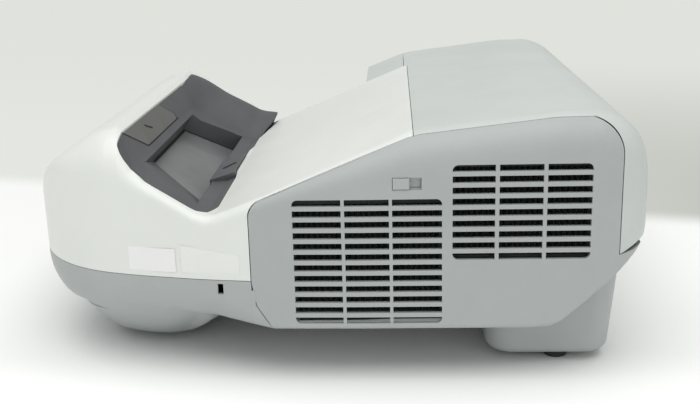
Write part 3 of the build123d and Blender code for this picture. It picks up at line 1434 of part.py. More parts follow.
def speaker():
    x = half_depth - wall - 0.2
    cone = rod((x - 12, 82, 108), 16, 11.8, "X")
    dish = Pos(x + 10, 82, 108) * Sphere(18)
    frame = box(x - 3, x, 60, 104, 92, 124)
    return cone + frame - dish


def main():
    os.makedirs("parts", exist_ok=True)
    outer = body_hull(0.0)
    inner = body_hull(wall)
    shell = outer - inner
    floor_z = underside_z + wall + 0.1
    nodes = {
        "bottom_case": bottom_case(shell, inner),
        "front_cover": front_cover(shell, inner),
        "control_deck": control_deck(shell, inner),
        "top_cover": top_cover(shell, inner),
        "lamp_cover": lamp_cover(shell) - rod((-30, 166, deck_z - wall - 1), 1.55, wall + 2),
        "lamp_cover_screw": lamp_screw(),
        "filter_cover": filter_door(shell),
        "filter_latch": latch_slider(),
        "filter_frame": filter_frame(),
        "air_filter_large": air_filter(*large_filter),
        "air_filter_small": air_filter(*small_filter),
        "hinge_pins": hinge_pins(),
        "window_bezel": window_bezel(),
        "projection_window": projection_window(),
        "sensor_panel": sensor_panel(),
        "lens_barrel": lens_barrel(),
        "lens_glass": lens_glass(),
        "focus_ring": focus_ring(),
        "concave_mirror": concave_mirror(),
        "mirror_bracket": mirror_bracket(),
        "optical_block": optical_block(),
        "heat_sink": heat_sink(),
        "lamp_housing": lamp_housing(),
        "lamp_reflector": lamp_reflector(),
        "light_tunnel": light_tunnel(),
        "intake_fan_frame": fan_frame(fan_in, fan_in_size, floor_z),
        "intake_rotor": fan_rotor(fan_in, fan_in_size),
        "exhaust_fan_frame": fan_frame(fan_out, fan_out_size, to_wall=True),
        "exhaust_rotor": fan_rotor(fan_out, fan_out_size),
        "port_panel": port_tray(),
        "vga_ports": vga_ports(),
        "digital_ports": digital_ports(),
        "audio_jacks": audio_jacks(),
        "power_inlet": power_inlet(),
        "key_board": key_board(),
        "indicator_lights": indicator_lights(),
        "remote_receiver": remote_receiver(shell),
        "speaker": speaker(),
        "main_board": main_board(),
        "power_supply_board": power_supply_board(),
        "ballast_board": ballast_board(),
        "case_screws": case_screws(),
        "mounting_inserts": mounting_inserts(),
        "foot_inserts": foot_inserts(),
    }
    for name, spot in key_table().items():
        nodes[name] = key_cap(spot)
    for name, (x, y), radius in zip(("front_foot", "rear_foot_near", "rear_foot_far"), foot_spots(),
                                    (front_foot_pad_r, foot_pad_r, foot_pad_r)):
        nodes[name] = foot_unit(x, y, radius)
    for name, shape in nodes.items():
        export_step(shape, f"parts/{name}.step")


main()
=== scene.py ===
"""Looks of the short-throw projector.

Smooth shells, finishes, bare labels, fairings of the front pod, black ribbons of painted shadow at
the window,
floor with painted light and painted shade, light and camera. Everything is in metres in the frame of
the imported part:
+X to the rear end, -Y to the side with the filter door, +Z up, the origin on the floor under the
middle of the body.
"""

import json
import logging
import math
from dataclasses import dataclass
from enum import Enum
from typing import Mapping, Sequence, Union

import bpy
import numpy as np
from mathutils import Matrix, Vector


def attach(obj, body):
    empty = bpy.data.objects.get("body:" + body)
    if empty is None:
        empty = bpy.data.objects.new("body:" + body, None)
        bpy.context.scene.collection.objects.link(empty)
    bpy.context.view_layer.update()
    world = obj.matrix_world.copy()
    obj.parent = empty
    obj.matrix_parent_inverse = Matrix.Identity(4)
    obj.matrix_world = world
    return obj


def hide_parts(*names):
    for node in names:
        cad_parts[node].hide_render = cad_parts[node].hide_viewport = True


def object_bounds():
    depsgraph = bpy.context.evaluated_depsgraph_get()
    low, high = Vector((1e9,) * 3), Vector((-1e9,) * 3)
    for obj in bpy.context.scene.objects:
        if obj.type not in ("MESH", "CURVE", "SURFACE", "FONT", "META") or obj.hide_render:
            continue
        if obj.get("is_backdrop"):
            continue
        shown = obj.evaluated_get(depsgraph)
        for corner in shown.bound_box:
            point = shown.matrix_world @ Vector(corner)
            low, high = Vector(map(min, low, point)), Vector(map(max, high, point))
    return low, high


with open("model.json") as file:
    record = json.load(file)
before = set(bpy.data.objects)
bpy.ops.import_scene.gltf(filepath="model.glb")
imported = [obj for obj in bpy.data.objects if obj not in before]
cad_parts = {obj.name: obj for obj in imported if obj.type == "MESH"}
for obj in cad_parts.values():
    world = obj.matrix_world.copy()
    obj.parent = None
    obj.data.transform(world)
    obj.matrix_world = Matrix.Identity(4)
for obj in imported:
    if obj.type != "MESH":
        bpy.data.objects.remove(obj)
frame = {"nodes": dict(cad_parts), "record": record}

log = logging.getLogger("projector")

MM = 0.001
# Sizes of the body that the scene's own pieces lie on: its plan, its underside and its skirt.
PLAN_HALF_WIDTH = 183.5 * MM
PLAN_HALF_LENGTH = 187.5 * MM
PLAN_BOW_RADIUS = 435.0 * MM
PLAN_BOW_TURN = math.radians(16.7)
UNDERSIDE_Z = 33.0 * MM
POD_FLOOR_Z = 5.0 * MM
SKIRT_ROLL = 26.0 * MM
SENSOR_WIDTH_MM = 36.0
# Corners of a CAD mesh that lie closer than this are one corner.
MERGE_DISTANCE = 2e-6


class Slot(Enum):
    """Material slots of the record that this scene paints."""

    WHITE = "white"
    GREY = "grey"
    LIGHT_GREY = "light_grey"
    DARK = "dark"
    WINDOW = "window"
    LENS = "lens"
    MIRROR = "mirror"
    BLACK = "black"
    FILTER = "filter"
    BOARD = "board"
    METAL = "metal"
    BRASS = "brass"
    CAST = "cast"
    RUBBER = "rubber"
    CERAMIC = "ceramic"
    LIGHTS = "lights"
    RECEIVER = "receiver"


@dataclass(frozen=True)
class Pattern:
    """Soft-edged patches on a surface.

    Args:
        per_metre: Cells to the metre.
        detail: How many finer layers they have.
        low: Level of the noise below which there is no patch.
        high: Level above which the patch is full.
    """

    per_metre: float
    detail: float
    low: float
    high: float


@dataclass(frozen=True)
class Finish:
    """How a surface looks.

    Args:
        colour: Linear base colour.
        rough: Mean roughness.
        wander: Share by which the tone drifts over the surface.
        gloss_wander: How far the roughness drifts, from handling.
        grain_mm: Height of the fine moulded texture.
        grain_size_mm: Spacing of that texture.
        dust: Share of pale dust on faces that look up.
        metallic: 1 for bare metal.
        coat: Weight of a clear coat.
        alpha: Opacity.
    """

    colour: tuple[float, float, float]
    rough: float
    wander: float = 0.03
    gloss_wander: float = 0.04
    grain_mm: float = 0.02
    grain_size_mm: float = 0.9
    dust: float = 0.0
    metallic: float = 0.0
    coat: float = 0.0
    alpha: float = 1.0


FINISHES: dict[Slot, Finish] = {
    Slot.WHITE: Finish((0.780, 0.800, 0.768), 0.36, 0.02, 0.05, 0.010, 0.8),
    Slot.GREY: Finish((0.415, 0.440, 0.440), 0.50, 0.03, 0.05, 0.030, 0.7),
    Slot.LIGHT_GREY: Finish((0.572, 0.606, 0.586), 0.46, 0.03, 0.05, 0.022, 0.7),
    Slot.DARK: Finish((0.076, 0.0785, 0.084), 0.50, 0.05, 0.06, 0.022, 0.6, dust=0.03),
    Slot.WINDOW: Finish((0.150, 0.158, 0.160), 0.34, 0.05, 0.08, 0.0, 1.0, dust=0.05, coat=0.2),
    Slot.LENS: Finish((0.55, 0.60, 0.66), 0.05, 0.02, 0.02, 0.0, 1.0, coat=0.8, alpha=0.45),
    Slot.MIRROR: Finish((0.86, 0.87, 0.89), 0.03, 0.01, 0.01, 0.0, 1.0, metallic=1.0),
    Slot.BLACK: Finish((0.022, 0.022, 0.024), 0.52, 0.08, 0.06, 0.020, 0.8, dust=0.04),
    Slot.FILTER: Finish((0.030, 0.032, 0.034), 0.90, 0.25, 0.04, 0.060, 0.5, dust=0.10),
    Slot.BOARD: Finish((0.018, 0.085, 0.045), 0.38, 0.10, 0.05, 0.010, 1.2),
    Slot.METAL: Finish((0.56, 0.56, 0.55), 0.32, 0.05, 0.08, 0.008, 0.5, metallic=1.0),
    Slot.BRASS: Finish((0.66, 0.50, 0.24), 0.34, 0.06, 0.08, 0.008, 0.5, metallic=1.0),
    Slot.CAST: Finish((0.50, 0.51, 0.52), 0.48, 0.06, 0.06, 0.040, 0.9, metallic=1.0),
    Slot.RUBBER: Finish((0.030, 0.030, 0.030), 0.78, 0.12, 0.05, 0.030, 0.6, dust=0.12),
    Slot.CERAMIC: Finish((0.74, 0.73, 0.68), 0.28, 0.04, 0.04, 0.010, 1.0),
    Slot.LIGHTS: Finish((0.46, 0.56, 0.50), 0.22, 0.02, 0.02, 0.0, 1.0, coat=0.5),
    Slot.RECEIVER: Finish((0.022, 0.006, 0.010), 0.12, 0.02, 0.02, 0.0, 1.0, coat=0.7),
}
PAPER = Finish((0.87, 0.87, 0.86), 0.55, 0.02, 0.05, 0.006, 0.4)
CLEAR_FILM = Finish((0.81, 0.83, 0.80), 0.26, 0.02, 0.05, 0.0, 1.0, coat=0.3)
# Near-black of the ribbons that are painted shadow in grooves, slots and along the glass.
SHADOW_GAP = Finish((0.008, 0.009, 0.010), 0.85, 0.05, 0.02, 0.0, 1.0)
NODE_FINISHES: dict[str, Finish] = {
    "sensor_panel": Finish((0.122, 0.120, 0.113), 0.50, 0.05, 0.06, 0.022, 0.6, dust=0.03),
    "filter_latch": Finish((0.425, 0.450, 0.450), 0.48, 0.03, 0.05, 0.025, 0.7),
}


# Sockets of the Mix node for colours, which share their names with those for numbers.
MIX_AMOUNT, MIX_FIRST, MIX_SECOND, MIX_RESULT = 0, 6, 7, 2
BUMP_STRENGTH = 0.6
COAT_ROUGHNESS = 0.08
# Cells to the metre and detail of the two noises that make the tone drift.
BROAD_CLOUDS = (13.0, 3.0)
FINE_CLOUDS = (70.0, 4.0)
BROAD_SHARE = 0.7
DRIFT_RANGE = (0.30, 0.70)
HANDLING_MARKS = Pattern(32.0, 2.0, 0.42, 0.68)
DUST_PATCHES = Pattern(45.0, 5.0, 0.30, 0.75)
DUST_COLOUR = (0.55, 0.56, 0.55)
# How far a face looks up, from where dust begins to lie to where it lies fully.
DUST_TILT = (0.2, 0.95)

Operand = Union["Signal", float]
Colour = Union["Signal", tuple[float, float, float]]


class Signal:
    """A number or colour that flows between shader nodes, written as arithmetic."""

    def __init__(self, tree: "ShaderTree", socket: bpy.types.NodeSocket) -> None:
        """Keeps the tree that the output belongs to, and the output."""
        self.tree = tree
        self.socket = socket

    def _math(self, operation: str, first: Operand, second: Operand) -> "Signal":
        """Adds a Math node."""
        return self.tree.node("ShaderNodeMath", [first, second], operation=operation)

    def __add__(self, other: Operand) -> "Signal":
        """Sum of this and a number or signal."""
        return self._math("ADD", self, other)

    def __radd__(self, other: Operand) -> "Signal":
        """Sum of a number and this."""
        return self._math("ADD", other, self)

    def __sub__(self, other: Operand) -> "Signal":
        """This less a number or signal."""
        return self._math("SUBTRACT", self, other)

    def __rsub__(self, other: Operand) -> "Signal":
        """A number less this."""
        return self._math("SUBTRACT", other, self)

    def __mul__(self, other: Operand) -> "Signal":
        """Product of this and a number or signal."""
        return self._math("MULTIPLY", self, other)

    def __rmul__(self, other: Operand) -> "Signal":
        """Product of a number and this."""
        return self._math("MULTIPLY", other, self)

    def clip(self) -> "Signal":
        """Keeps the number between 0 and 1."""
        return self.tree.node("ShaderNodeClamp", [self, 0.0, 1.0])

    def step(self, low: float, high: float) -> "Signal":
        """0 below low, 1 above high and a smooth S between them."""
        return self.tree.node(
            "ShaderNodeMapRange", [self, low, high, 0.0, 1.0], interpolation_type="SMOOTHSTEP"
        )


class ShaderTree:
    """One material with its Principled shader and short ways to add nodes to it."""

    def __init__(self, name: str) -> None:
        """Makes the material and finds its shader."""
        self.material = bpy.data.materials.new(name)
        self.material.use_nodes = True
        self.nodes = self.material.node_tree.nodes
        self.links = self.material.node_tree.links
        self.shader = self.nodes["Principled BSDF"]

    def node(
        self,
        kind: str,
        inputs: Union[Sequence[object], Mapping[Union[int, str], object]] = (),
        output: Union[int, str] = 0,
        **settings: object,
    ) -> Signal:
        """Adds a node.

        Args:
            kind: Blender's name for the node type.
            inputs: Values or signals for its inputs, in order or by number or name; None leaves
                one as it is.
            output: Number or name of the output to return.
            **settings: Properties of the node.

        Returns:
            The chosen output.
        """
        made = self.nodes.new(kind)
        for name, value in settings.items():
            setattr(made, name, value)
        rows = inputs.items() if isinstance(inputs, Mapping) else enumerate(inputs)
        for key, value in rows:
            self.feed(made.inputs[key], value)
        return Signal(self, made.outputs[output])

    def feed(self, socket: bpy.types.NodeSocket, value: object) -> None:
        """Links a signal to a socket, or sets the socket's own value."""
        if isinstance(value, Signal):
            self.links.new(value.socket, socket)
        elif value is not None:
            socket.default_value = value

    def set(self, name: str, value: object) -> None:
        """Feeds one input of the Principled shader."""
        self.feed(self.shader.inputs[name], value)

    def place(self) -> Signal:
        """The point on the object, in its own coordinates."""
        return self.node("ShaderNodeTexCoord", output="Object")

    def noise(self, place: Signal, per_metre: float, detail: float) -> Signal:
        """Cloudy number round 0.5 with that many cells to the metre."""
        return self.node("ShaderNodeTexNoise", [place, None, per_metre, detail])

    def patches(self, place: Signal, pattern: Pattern) -> Signal:
        """Number that is 1 in the patches of a pattern and 0 between them."""
        return self.noise(place, pattern.per_metre, pattern.detail).step(pattern.low, pattern.high)

    def mix(self, amount: Operand, colour: Colour, other: Colour) -> Signal:
        """Colour that goes from colour to other as amount goes from 0 to 1."""
        first, second = (end if isinstance(end, Signal) else (*end, 1.0) for end in (colour, other))
        inputs = {MIX_AMOUNT: amount, MIX_FIRST: first, MIX_SECOND: second}
        return self.node("ShaderNodeMix", inputs, output=MIX_RESULT, data_type="RGBA")

    def bump(self, height: Signal, distance: float) -> Signal:
        """Normal of a surface raised by height times distance, in metres."""
        inputs = {"Strength": BUMP_STRENGTH, "Distance": distance, "Height": height}
        return self.node("ShaderNodeBump", inputs)


class PaintShop:
    """Makes the material of each finish once."""

    def __init__(self) -> None:
        """Starts with no materials."""
        self._made: dict[str, bpy.types.Material] = {}

    def material(self, name: str, finish: Finish) -> bpy.types.Material:
        """Returns the material for a finish, and builds it the first time.

        Args:
            name: Name of the material.
            finish: What it looks like.

        Returns:
            The finished material.
        """
        if name not in self._made:
            self._made[name] = self._build(name, finish)
        return self._made[name]

    def _build(self, name: str, finish: Finish) -> bpy.types.Material:
        """Wires up one finish: drifting tone, dust, handling marks and fine grain.

        Args:
            name: Name of the material.
            finish: What it looks like.

        Returns:
            The material.
        """
        tree = ShaderTree(name)
        place = tree.place()
        broad = tree.noise(place, *BROAD_CLOUDS) * BROAD_SHARE
        fine = tree.noise(place, *FINE_CLOUDS) * (1.0 - BROAD_SHARE)
        drift = (broad + fine).step(*DRIFT_RANGE)
        light = tuple(min(c * (1.0 + finish.wander), 1.0) for c in finish.colour)
        deep = tuple(c * (1.0 - finish.wander) for c in finish.colour)
        base = tree.mix(drift, deep, light)
        if finish.dust:
            base = self._dusted(tree, place, base, finish)
        tree.set("Base Color", base)
        marks = tree.patches(place, HANDLING_MARKS)
        smoothest = finish.rough - finish.gloss_wander / 2
        tree.set("Roughness", (marks * finish.gloss_wander + smoothest).clip())
        tree.set("Metallic", finish.metallic)
        tree.set("Coat Weight", finish.coat)
        tree.set("Coat Roughness", COAT_ROUGHNESS)
        tree.set("Alpha", finish.alpha)
        if finish.grain_mm:
            grain = tree.noise(place, 1.0 / (finish.grain_size_mm * MM), 1.0)
            tree.set("Normal", tree.bump(grain, finish.grain_mm * MM))
        return tree.material

    @staticmethod
    def _dusted(tree: ShaderTree, place: Signal, base: Signal, finish: Finish) -> Signal:
        """Lays pale dust over the base colour where the face looks up.

        Args:
            tree: Material that gets the dust.
            place: Point on the object.
            base: Colour below the dust.
            finish: Says how much dust there is.

        Returns:
            The dusted colour.
        """
        normal = tree.node("ShaderNodeNewGeometry", output="Normal")
        upward = tree.node("ShaderNodeSeparateXYZ", [normal], output="Z")
        lying = upward.step(*DUST_TILT)
        amount = (lying * tree.patches(place, DUST_PATCHES) * finish.dust).clip()
        return tree.mix(amount, base, DUST_COLOUR)


@dataclass
class SkinSet:
    """Merged copies of CAD nodes, shaded smooth up to an angle.

    Args:
        shop: Where the materials come from.
        slots: Slot of each CAD node.
        body_of: Body of each CAD node.
    """

    shop: PaintShop
    slots: dict[str, Slot]
    body_of: dict[str, str]

    def build(self, node: str, smooth_degrees: float) -> bpy.types.Object:
        """Copies one node, merges its corners and smooths it.

        Args:
            node: Name of the CAD node.
            smooth_degrees: Edges sharper than this stay crisp.

        Returns:
            The copy, which stands for the node.
        """
        points, corners = merged_triangles(frame["nodes"][node])
        mesh = bpy.data.meshes.new(f"{node}_skin")
        mesh.from_pydata(points.tolist(), [], corners.tolist())
        mesh.validate()
        mesh.polygons.foreach_set("use_smooth", np.ones(len(mesh.polygons), dtype=bool))
        mesh.set_sharp_from_angle(angle=math.radians(smooth_degrees))
        mesh.update()
        skin = bpy.data.objects.new(f"{node}_skin", mesh)
        bpy.context.scene.collection.objects.link(skin)
        weigh = skin.modifiers.new("even_normals", "WEIGHTED_NORMAL")
        weigh.mode = "FACE_AREA_WITH_ANGLE"
        weigh.keep_sharp = True
        weigh.weight = 50
        slot = self.slots[node]
        if node in NODE_FINISHES:
            mesh.materials.append(self.shop.material(f"{slot.value}_{node}", NODE_FINISHES[node]))
        else:
            mesh.materials.append(self.shop.material(slot.value, FINISHES[slot]))
        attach(skin, self.body_of[node])
        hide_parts(node)
        log.info("skin of %s", node)
        return skin


def merged_triangles(source: bpy.types.Object) -> tuple[np.ndarray, np.ndarray]:
    """Reads a mesh of loose triangles and joins the corners that lie together.

    Args:
        source: The object to read.

    Returns:
        The points and, for each triangle, its three point numbers.
    """
    mesh = source.data
    flat = np.zeros(len(mesh.vertices) * 3, np.float32)
    mesh.vertices.foreach_get("co", flat)
    index = np.zeros(len(mesh.loops), np.int32)
    mesh.loops.foreach_get("vertex_index", index)
    cells = np.round(flat.reshape(-1, 3).astype(np.float64) / MERGE_DISTANCE).astype(np.int64)
    _, first, back = np.unique(cells, axis=0, return_index=True, return_inverse=True)
    triangles = back.ravel()[index].reshape(-1, 3)
    whole = (
        (triangles[:, 0] != triangles[:, 1])
        & (triangles[:, 1] != triangles[:, 2])
        & (triangles[:, 2] != triangles[:, 0])
    )
    return flat.reshape(-1, 3)[first], triangles[whole]


def surface_mesh(name: str, points: np.ndarray) -> bpy.types.Mesh:
    """Makes a mesh from a grid of points.

    Args:
        name: Name of the mesh.
        points: Array of rows by columns by 3.

    Returns:
        A mesh of quads that joins neighbours in the grid.
    """
    rows, columns = points.shape[:2]
    number = np.arange(rows * columns).reshape(rows, columns)
    quads = np.stack(
        [number[:-1, :-1], number[:-1, 1:], number[1:, 1:], number[1:, :-1]], axis=-1
    ).reshape(-1, 4)
    mesh = bpy.data.meshes.new(name)
    mesh.from_pydata(points.reshape(-1, 3).tolist(), [], quads.tolist())
    mesh.polygons.foreach_set("use_smooth", np.ones(len(mesh.polygons), dtype=bool))
    mesh.update()
    return mesh


def surface_piece(
    name: str,
    points: np.ndarray,
    material: bpy.types.Material,
    wall: float = 0.0,
    side: float = 1.0,
) -> bpy.types.Object:
    """Puts a surface into the scene.

    Args:
        name: Name of the piece.
        points: Array of rows by columns by 3.
        material: What it is made of.
        wall: Thickness; 0 leaves it a bare sheet.
        side: 1 to thicken it outwards, -1 inwards.

    Returns:
        The piece, which doesn't ride on a body yet.
    """
    piece = bpy.data.objects.new(name, surface_mesh(name, points))
    bpy.context.scene.collection.objects.link(piece)
    if wall:
        solid = piece.modifiers.new("wall", "SOLIDIFY")
        solid.thickness = wall
        solid.offset = side
    piece.data.materials.append(material)
    log.info("piece %s", name)
    return piece


def plan_half_width(x: np.ndarray) -> np.ndarray:
    """Half width of the body, seen from above.

    Behind x = 0 it is the greatest half width H. In front of it the wall is a circle of the bow
    radius R as far as the angle A, so W = H - R + sqrt(R^2 - x^2), and from there a circle of
    radius r that ends at the front.

    Args:
        x: Places along the body.

    Returns:
        The half width at each of them.
    """
    turn, radius = PLAN_BOW_TURN, PLAN_BOW_RADIUS
    corner_radius = (PLAN_HALF_LENGTH - radius * math.sin(turn)) / (1.0 - math.sin(turn))
    corner_y = PLAN_HALF_WIDTH - radius * (1.0 - math.cos(turn)) - corner_radius * math.cos(turn)
    from_centre = x + PLAN_HALF_LENGTH - corner_radius
    bow = PLAN_HALF_WIDTH - radius + np.sqrt(radius**2 - np.minimum(x, 0.0) ** 2)
    corner = corner_y + np.sqrt(np.maximum(corner_radius**2 - from_centre**2, 0.0))
    return np.where(x < -radius * math.sin(turn), corner, bow)


def bezier_weights(count: int, degree: int) -> np.ndarray:
    """Shares of a Bezier curve's control points at evenly spaced places along it.

    Row t holds C(n, k) t^k (1 - t)^(n - k) for the control points k = 0 to n.

    Args:
        count: Number of places, from t = 0 to t = 1.
        degree: The degree n, one less than the number of control points.

    Returns:
        Array of places by control points.
    """
    t = np.linspace(0.0, 1.0, count)[:, None]
    k = np.arange(degree + 1)
    choices = np.array([math.comb(degree, int(number)) for number in k])
    return choices * t**k * (1.0 - t) ** (degree - k)


def unit_grid(rows: int, columns: int) -> list[np.ndarray]:
    """Evenly spaced u down the rows and v along the columns, both from 0 to 1."""
    return np.meshgrid(np.linspace(0, 1, rows), np.linspace(0, 1, columns), indexing="ij")


@dataclass(frozen=True)
class Label:
    """A bare label on the bowed near wall.

    Args:
        name: Name of the piece.
        x: Front and rear end.
        z_front: Lower and upper edge at the front end.
        z_rear: Lower and upper edge at the rear end.
        finish: What it looks like.
        thick: Thickness of the film.
        lift: How far it stands off the wall.
        grid: Points along it and up it.
    """

    name: str
    x: tuple[float, float]
    z_front: tuple[float, float]
    z_rear: tuple[float, float]
    finish: Finish
    thick: float = 0.06 * MM
    lift: float = 0.03 * MM
    grid: tuple[int, int] = (33, 5)

    def points(self) -> np.ndarray:
        """Grid on the wall.

        Along the label u goes from 0 to 1, x = x0 + u (x1 - x0) and y = -W(x) - lift, with W the
        half width of the body. v goes from the lower to the upper edge, and z runs straight between
        the two ends' heights.
        """
        u, v = unit_grid(*self.grid)
        x = self.x[0] + u * (self.x[1] - self.x[0])
        y = -plan_half_width(x) - self.lift
        low = self.z_front[0] + u * (self.z_rear[0] - self.z_front[0])
        high = self.z_front[1] + u * (self.z_rear[1] - self.z_front[1])
        return np.stack([x, y, low + v * (high - low)], axis=-1)

    def build(self, shop: PaintShop) -> bpy.types.Object:
        """Makes the label and lets it ride on the chassis.

        Args:
            shop: Where its material comes from.

        Returns:
            The label.
        """
        material = shop.material(self.name, self.finish)
        label = surface_piece(self.name, self.points(), material, self.thick)
        even = label.modifiers.new("even_normals", "WEIGHTED_NORMAL")
        even.weight = 100
        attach(label, "chassis")
        return label


@dataclass(frozen=True)
class SillCorner:
    """Corner of the skirt between the front pod and the slanted lower corner of the filter door.

    Args:
        name: Name of the piece.
        x_front: Front edge, where the skirt of the bottom case ends.
        x_door: Edge of the door above and below its slanted corner.
        z_low: Underside of the body.
        z_bend: Height at which the slant of the door begins.
        z_high: Upper end.
        foot_front: Radius of the round foot at the front edge.
        foot_slope: Loss of that radius for each metre to the rear.
        thick: Thickness of the wall.
        grid: Points along it and up it.
    """

    name: str = "sill_corner"
    x_front: float = -41.2 * MM
    x_door: tuple[float, float] = (-38.9 * MM, -29.4 * MM)
    z_low: float = UNDERSIDE_Z
    z_bend: float = 48.0 * MM
    z_high: float = 57.0 * MM
    foot_front: float = 10.6 * MM
    foot_slope: float = 0.622
    thick: float = 2.0 * MM
    grid: tuple[int, int] = (15, 41)

    def points(self) -> np.ndarray:
        """Grid on the skirt.

        v runs from the underside up, z = z_low + v^2 (z_high - z_low), so that the rows are dense
        where the foot is round. At each height u runs from the front edge to the edge of the door,
        which leans forward on a straight line up to z_bend and then stays upright. The foot radius
        is f = foot_front - foot_slope (x - x_front), and with d = max(z_low + f - z, 0) the wall
        lies at y = -W(x) + f - sqrt(f^2 - d^2), where W(x) is the half width of the body.
        """
        u, v = unit_grid(*self.grid)
        z = self.z_low + v**2 * (self.z_high - self.z_low)
        lean = np.clip((z - self.z_low) / (self.z_bend - self.z_low), 0.0, 1.0)
        edge = self.x_door[1] + lean * (self.x_door[0] - self.x_door[1])
        x = self.x_front + u * (edge - self.x_front)
        foot = self.foot_front - self.foot_slope * (x - self.x_front)
        depth = np.maximum(self.z_low + foot - z, 0.0)
        inward = foot - np.sqrt(np.maximum(foot**2 - depth**2, 0.0))
        return np.stack([x, inward - plan_half_width(x), z], axis=-1)

    def build(self, shop: PaintShop) -> bpy.types.Object:
        """Makes the corner and lets it ride on the chassis.

        Args:
            shop: Where its material comes from.

        Returns:
            The corner.
        """
        material = shop.material(Slot.GREY.value, FINISHES[Slot.GREY])
        corner = surface_piece(self.name, self.points(), material, self.thick)
        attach(corner, "chassis")
        return corner


@dataclass(frozen=True)
class PodFairing:
    """Wall that carries the rolled skirt on down over one side of the front pod.

    Args:
        name: Name of the piece.
        mirrored: Whether it is on the far side.
        top: Control points of the upper edge: x, and the way from the upright wall down and in.
        floor: Control points of the lower edge: x and y.
        roll: How far the skirt's own curve is carried on.
        lip: Width of the flat rim on the pod's underside.
        sunk: How deep the upper edge is buried in the skirt.
        thick: Thickness of the wall, inwards.
        least_roll: Share of the roll that is carried on where the body is already flat.
        corner_pull: Share of the way from the lower corner at which the wall begins to bend.
        grid: Points round the pod and down the wall.
    """

    name: str
    mirrored: bool = False
    top: tuple[tuple[float, float], ...] = (
        (-155.5, 84.0), (-161.0, 12.0), (-164.0, 2.0), (-112.0, 10.0),
        (-64.0, 2.0), (-58.0, 52.0), (-58.0, 90.0),
    )
    floor: tuple[tuple[float, float], ...] = (
        (-146.5, -78.0), (-151.0, -98.0), (-154.0, -128.0), (-118.0, -109.0),
        (-90.0, -147.0), (-85.0, -115.0), (-86.0, -84.0),
    )
    roll: float = 20.0 * MM
    lip: float = 4.0 * MM
    sunk: float = 0.4 * MM
    thick: float = 1.0 * MM
    least_roll: float = 0.3
    corner_pull: float = 0.3
    grid: tuple[int, int] = (121, 61)

    def points(self) -> np.ndarray:
        """Grid on the wall.

        u runs round the pod and v down the wall. The upper edge lies on the body at the way s from
        the upright wall: with a = min(s / f, pi/2) and the roll radius f it is at
        y = -W(x) + f (1 - cos a) + max(s - f pi/2, 0) and z = z_low + f (1 - sin a). Each line down
        the wall is a Bezier curve: it leaves the upper edge along the roll, shortened where the
        body is flat, runs to the corner on the lower edge, rounds it and ends on the lip. The far
        side is the same with y turned round.
        """
        along = bezier_weights(self.grid[0], len(self.top) - 1)
        x, way = (along @ np.array(self.top) * MM).T
        turn = np.clip(way / SKIRT_ROLL, 0.0, math.pi / 2)
        inward = SKIRT_ROLL * (1 - np.cos(turn)) + np.maximum(way - SKIRT_ROLL * math.pi / 2, 0.0)
        height = UNDERSIDE_Z + SKIRT_ROLL * (1 - np.sin(turn))
        edge = np.stack([x, inward - plan_half_width(x), height], -1)
        keep = np.clip(2.0 * np.cos(turn), 0.0, 1.0)
        down = np.stack([0.0 * x, keep * np.sin(turn), -keep * np.cos(turn) - (1.0 - keep)], -1)
        buried = np.stack([0.0 * x, np.cos(turn), np.sin(turn)], -1) * self.sunk
        corner = np.column_stack([along @ np.array(self.floor) * MM, np.full(len(x), POD_FLOOR_Z)])
        run = np.gradient(corner, axis=0)
        run /= np.linalg.norm(run, axis=1, keepdims=True)
        outward = np.stack([run[:, 1], -run[:, 0], 0.0 * x], -1)
        share = self.least_roll + (1.0 - self.least_roll) * keep
        rolled = edge + down * self.roll * share[:, None]
        bend = corner + self.corner_pull * (rolled - corner)
        controls = np.array([edge + buried, rolled, bend, corner, corner - outward * self.lip])
        weights = bezier_weights(self.grid[1], len(controls) - 1)
        wall = np.einsum("vk,kuc->uvc", weights, controls)
        return wall[::-1] * (1.0, -1.0, 1.0) if self.mirrored else wall

    def build(self, shop: PaintShop) -> bpy.types.Object:
        """Makes the fairing and lets it ride on the chassis.

        Args:
            shop: Where its material comes from.

        Returns:
            The fairing.
        """
        material = shop.material(Slot.GREY.value, FINISHES[Slot.GREY])
        fairing = surface_piece(self.name, self.points(), material, self.thick, side=-1.0)
        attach(fairing, "chassis")
        return fairing


@dataclass(frozen=True)
class FlatFace:
    """A flat face of the window surround.

    Args:
        origin: Point that places on the face are measured from, in millimetres.
        across: Direction of their first measure.
        along: Direction of their second.
    """

    origin: tuple[float, float, float]
    across: tuple[float, float, float]
    along: tuple[float, float, float] = (0.0, 1.0, 0.0)

    def over(self, places: np.ndarray, height: float) -> np.ndarray:
        """Points at a height over the face.

        With a and b the two directions made unit long and n = a x b, the point is
        p = origin + x a + y b + height n.

        Args:
            places: Array whose last axis holds x and y, in metres.
            height: Distance from the face.

        Returns:
            Array of the same shape with x, y and z on its last axis.
        """
        axes = np.array([self.across, self.along])
        axes /= np.linalg.norm(axes, axis=1, keepdims=True)
        return places @ axes + (np.array(self.origin) * MM + np.cross(*axes) * height)


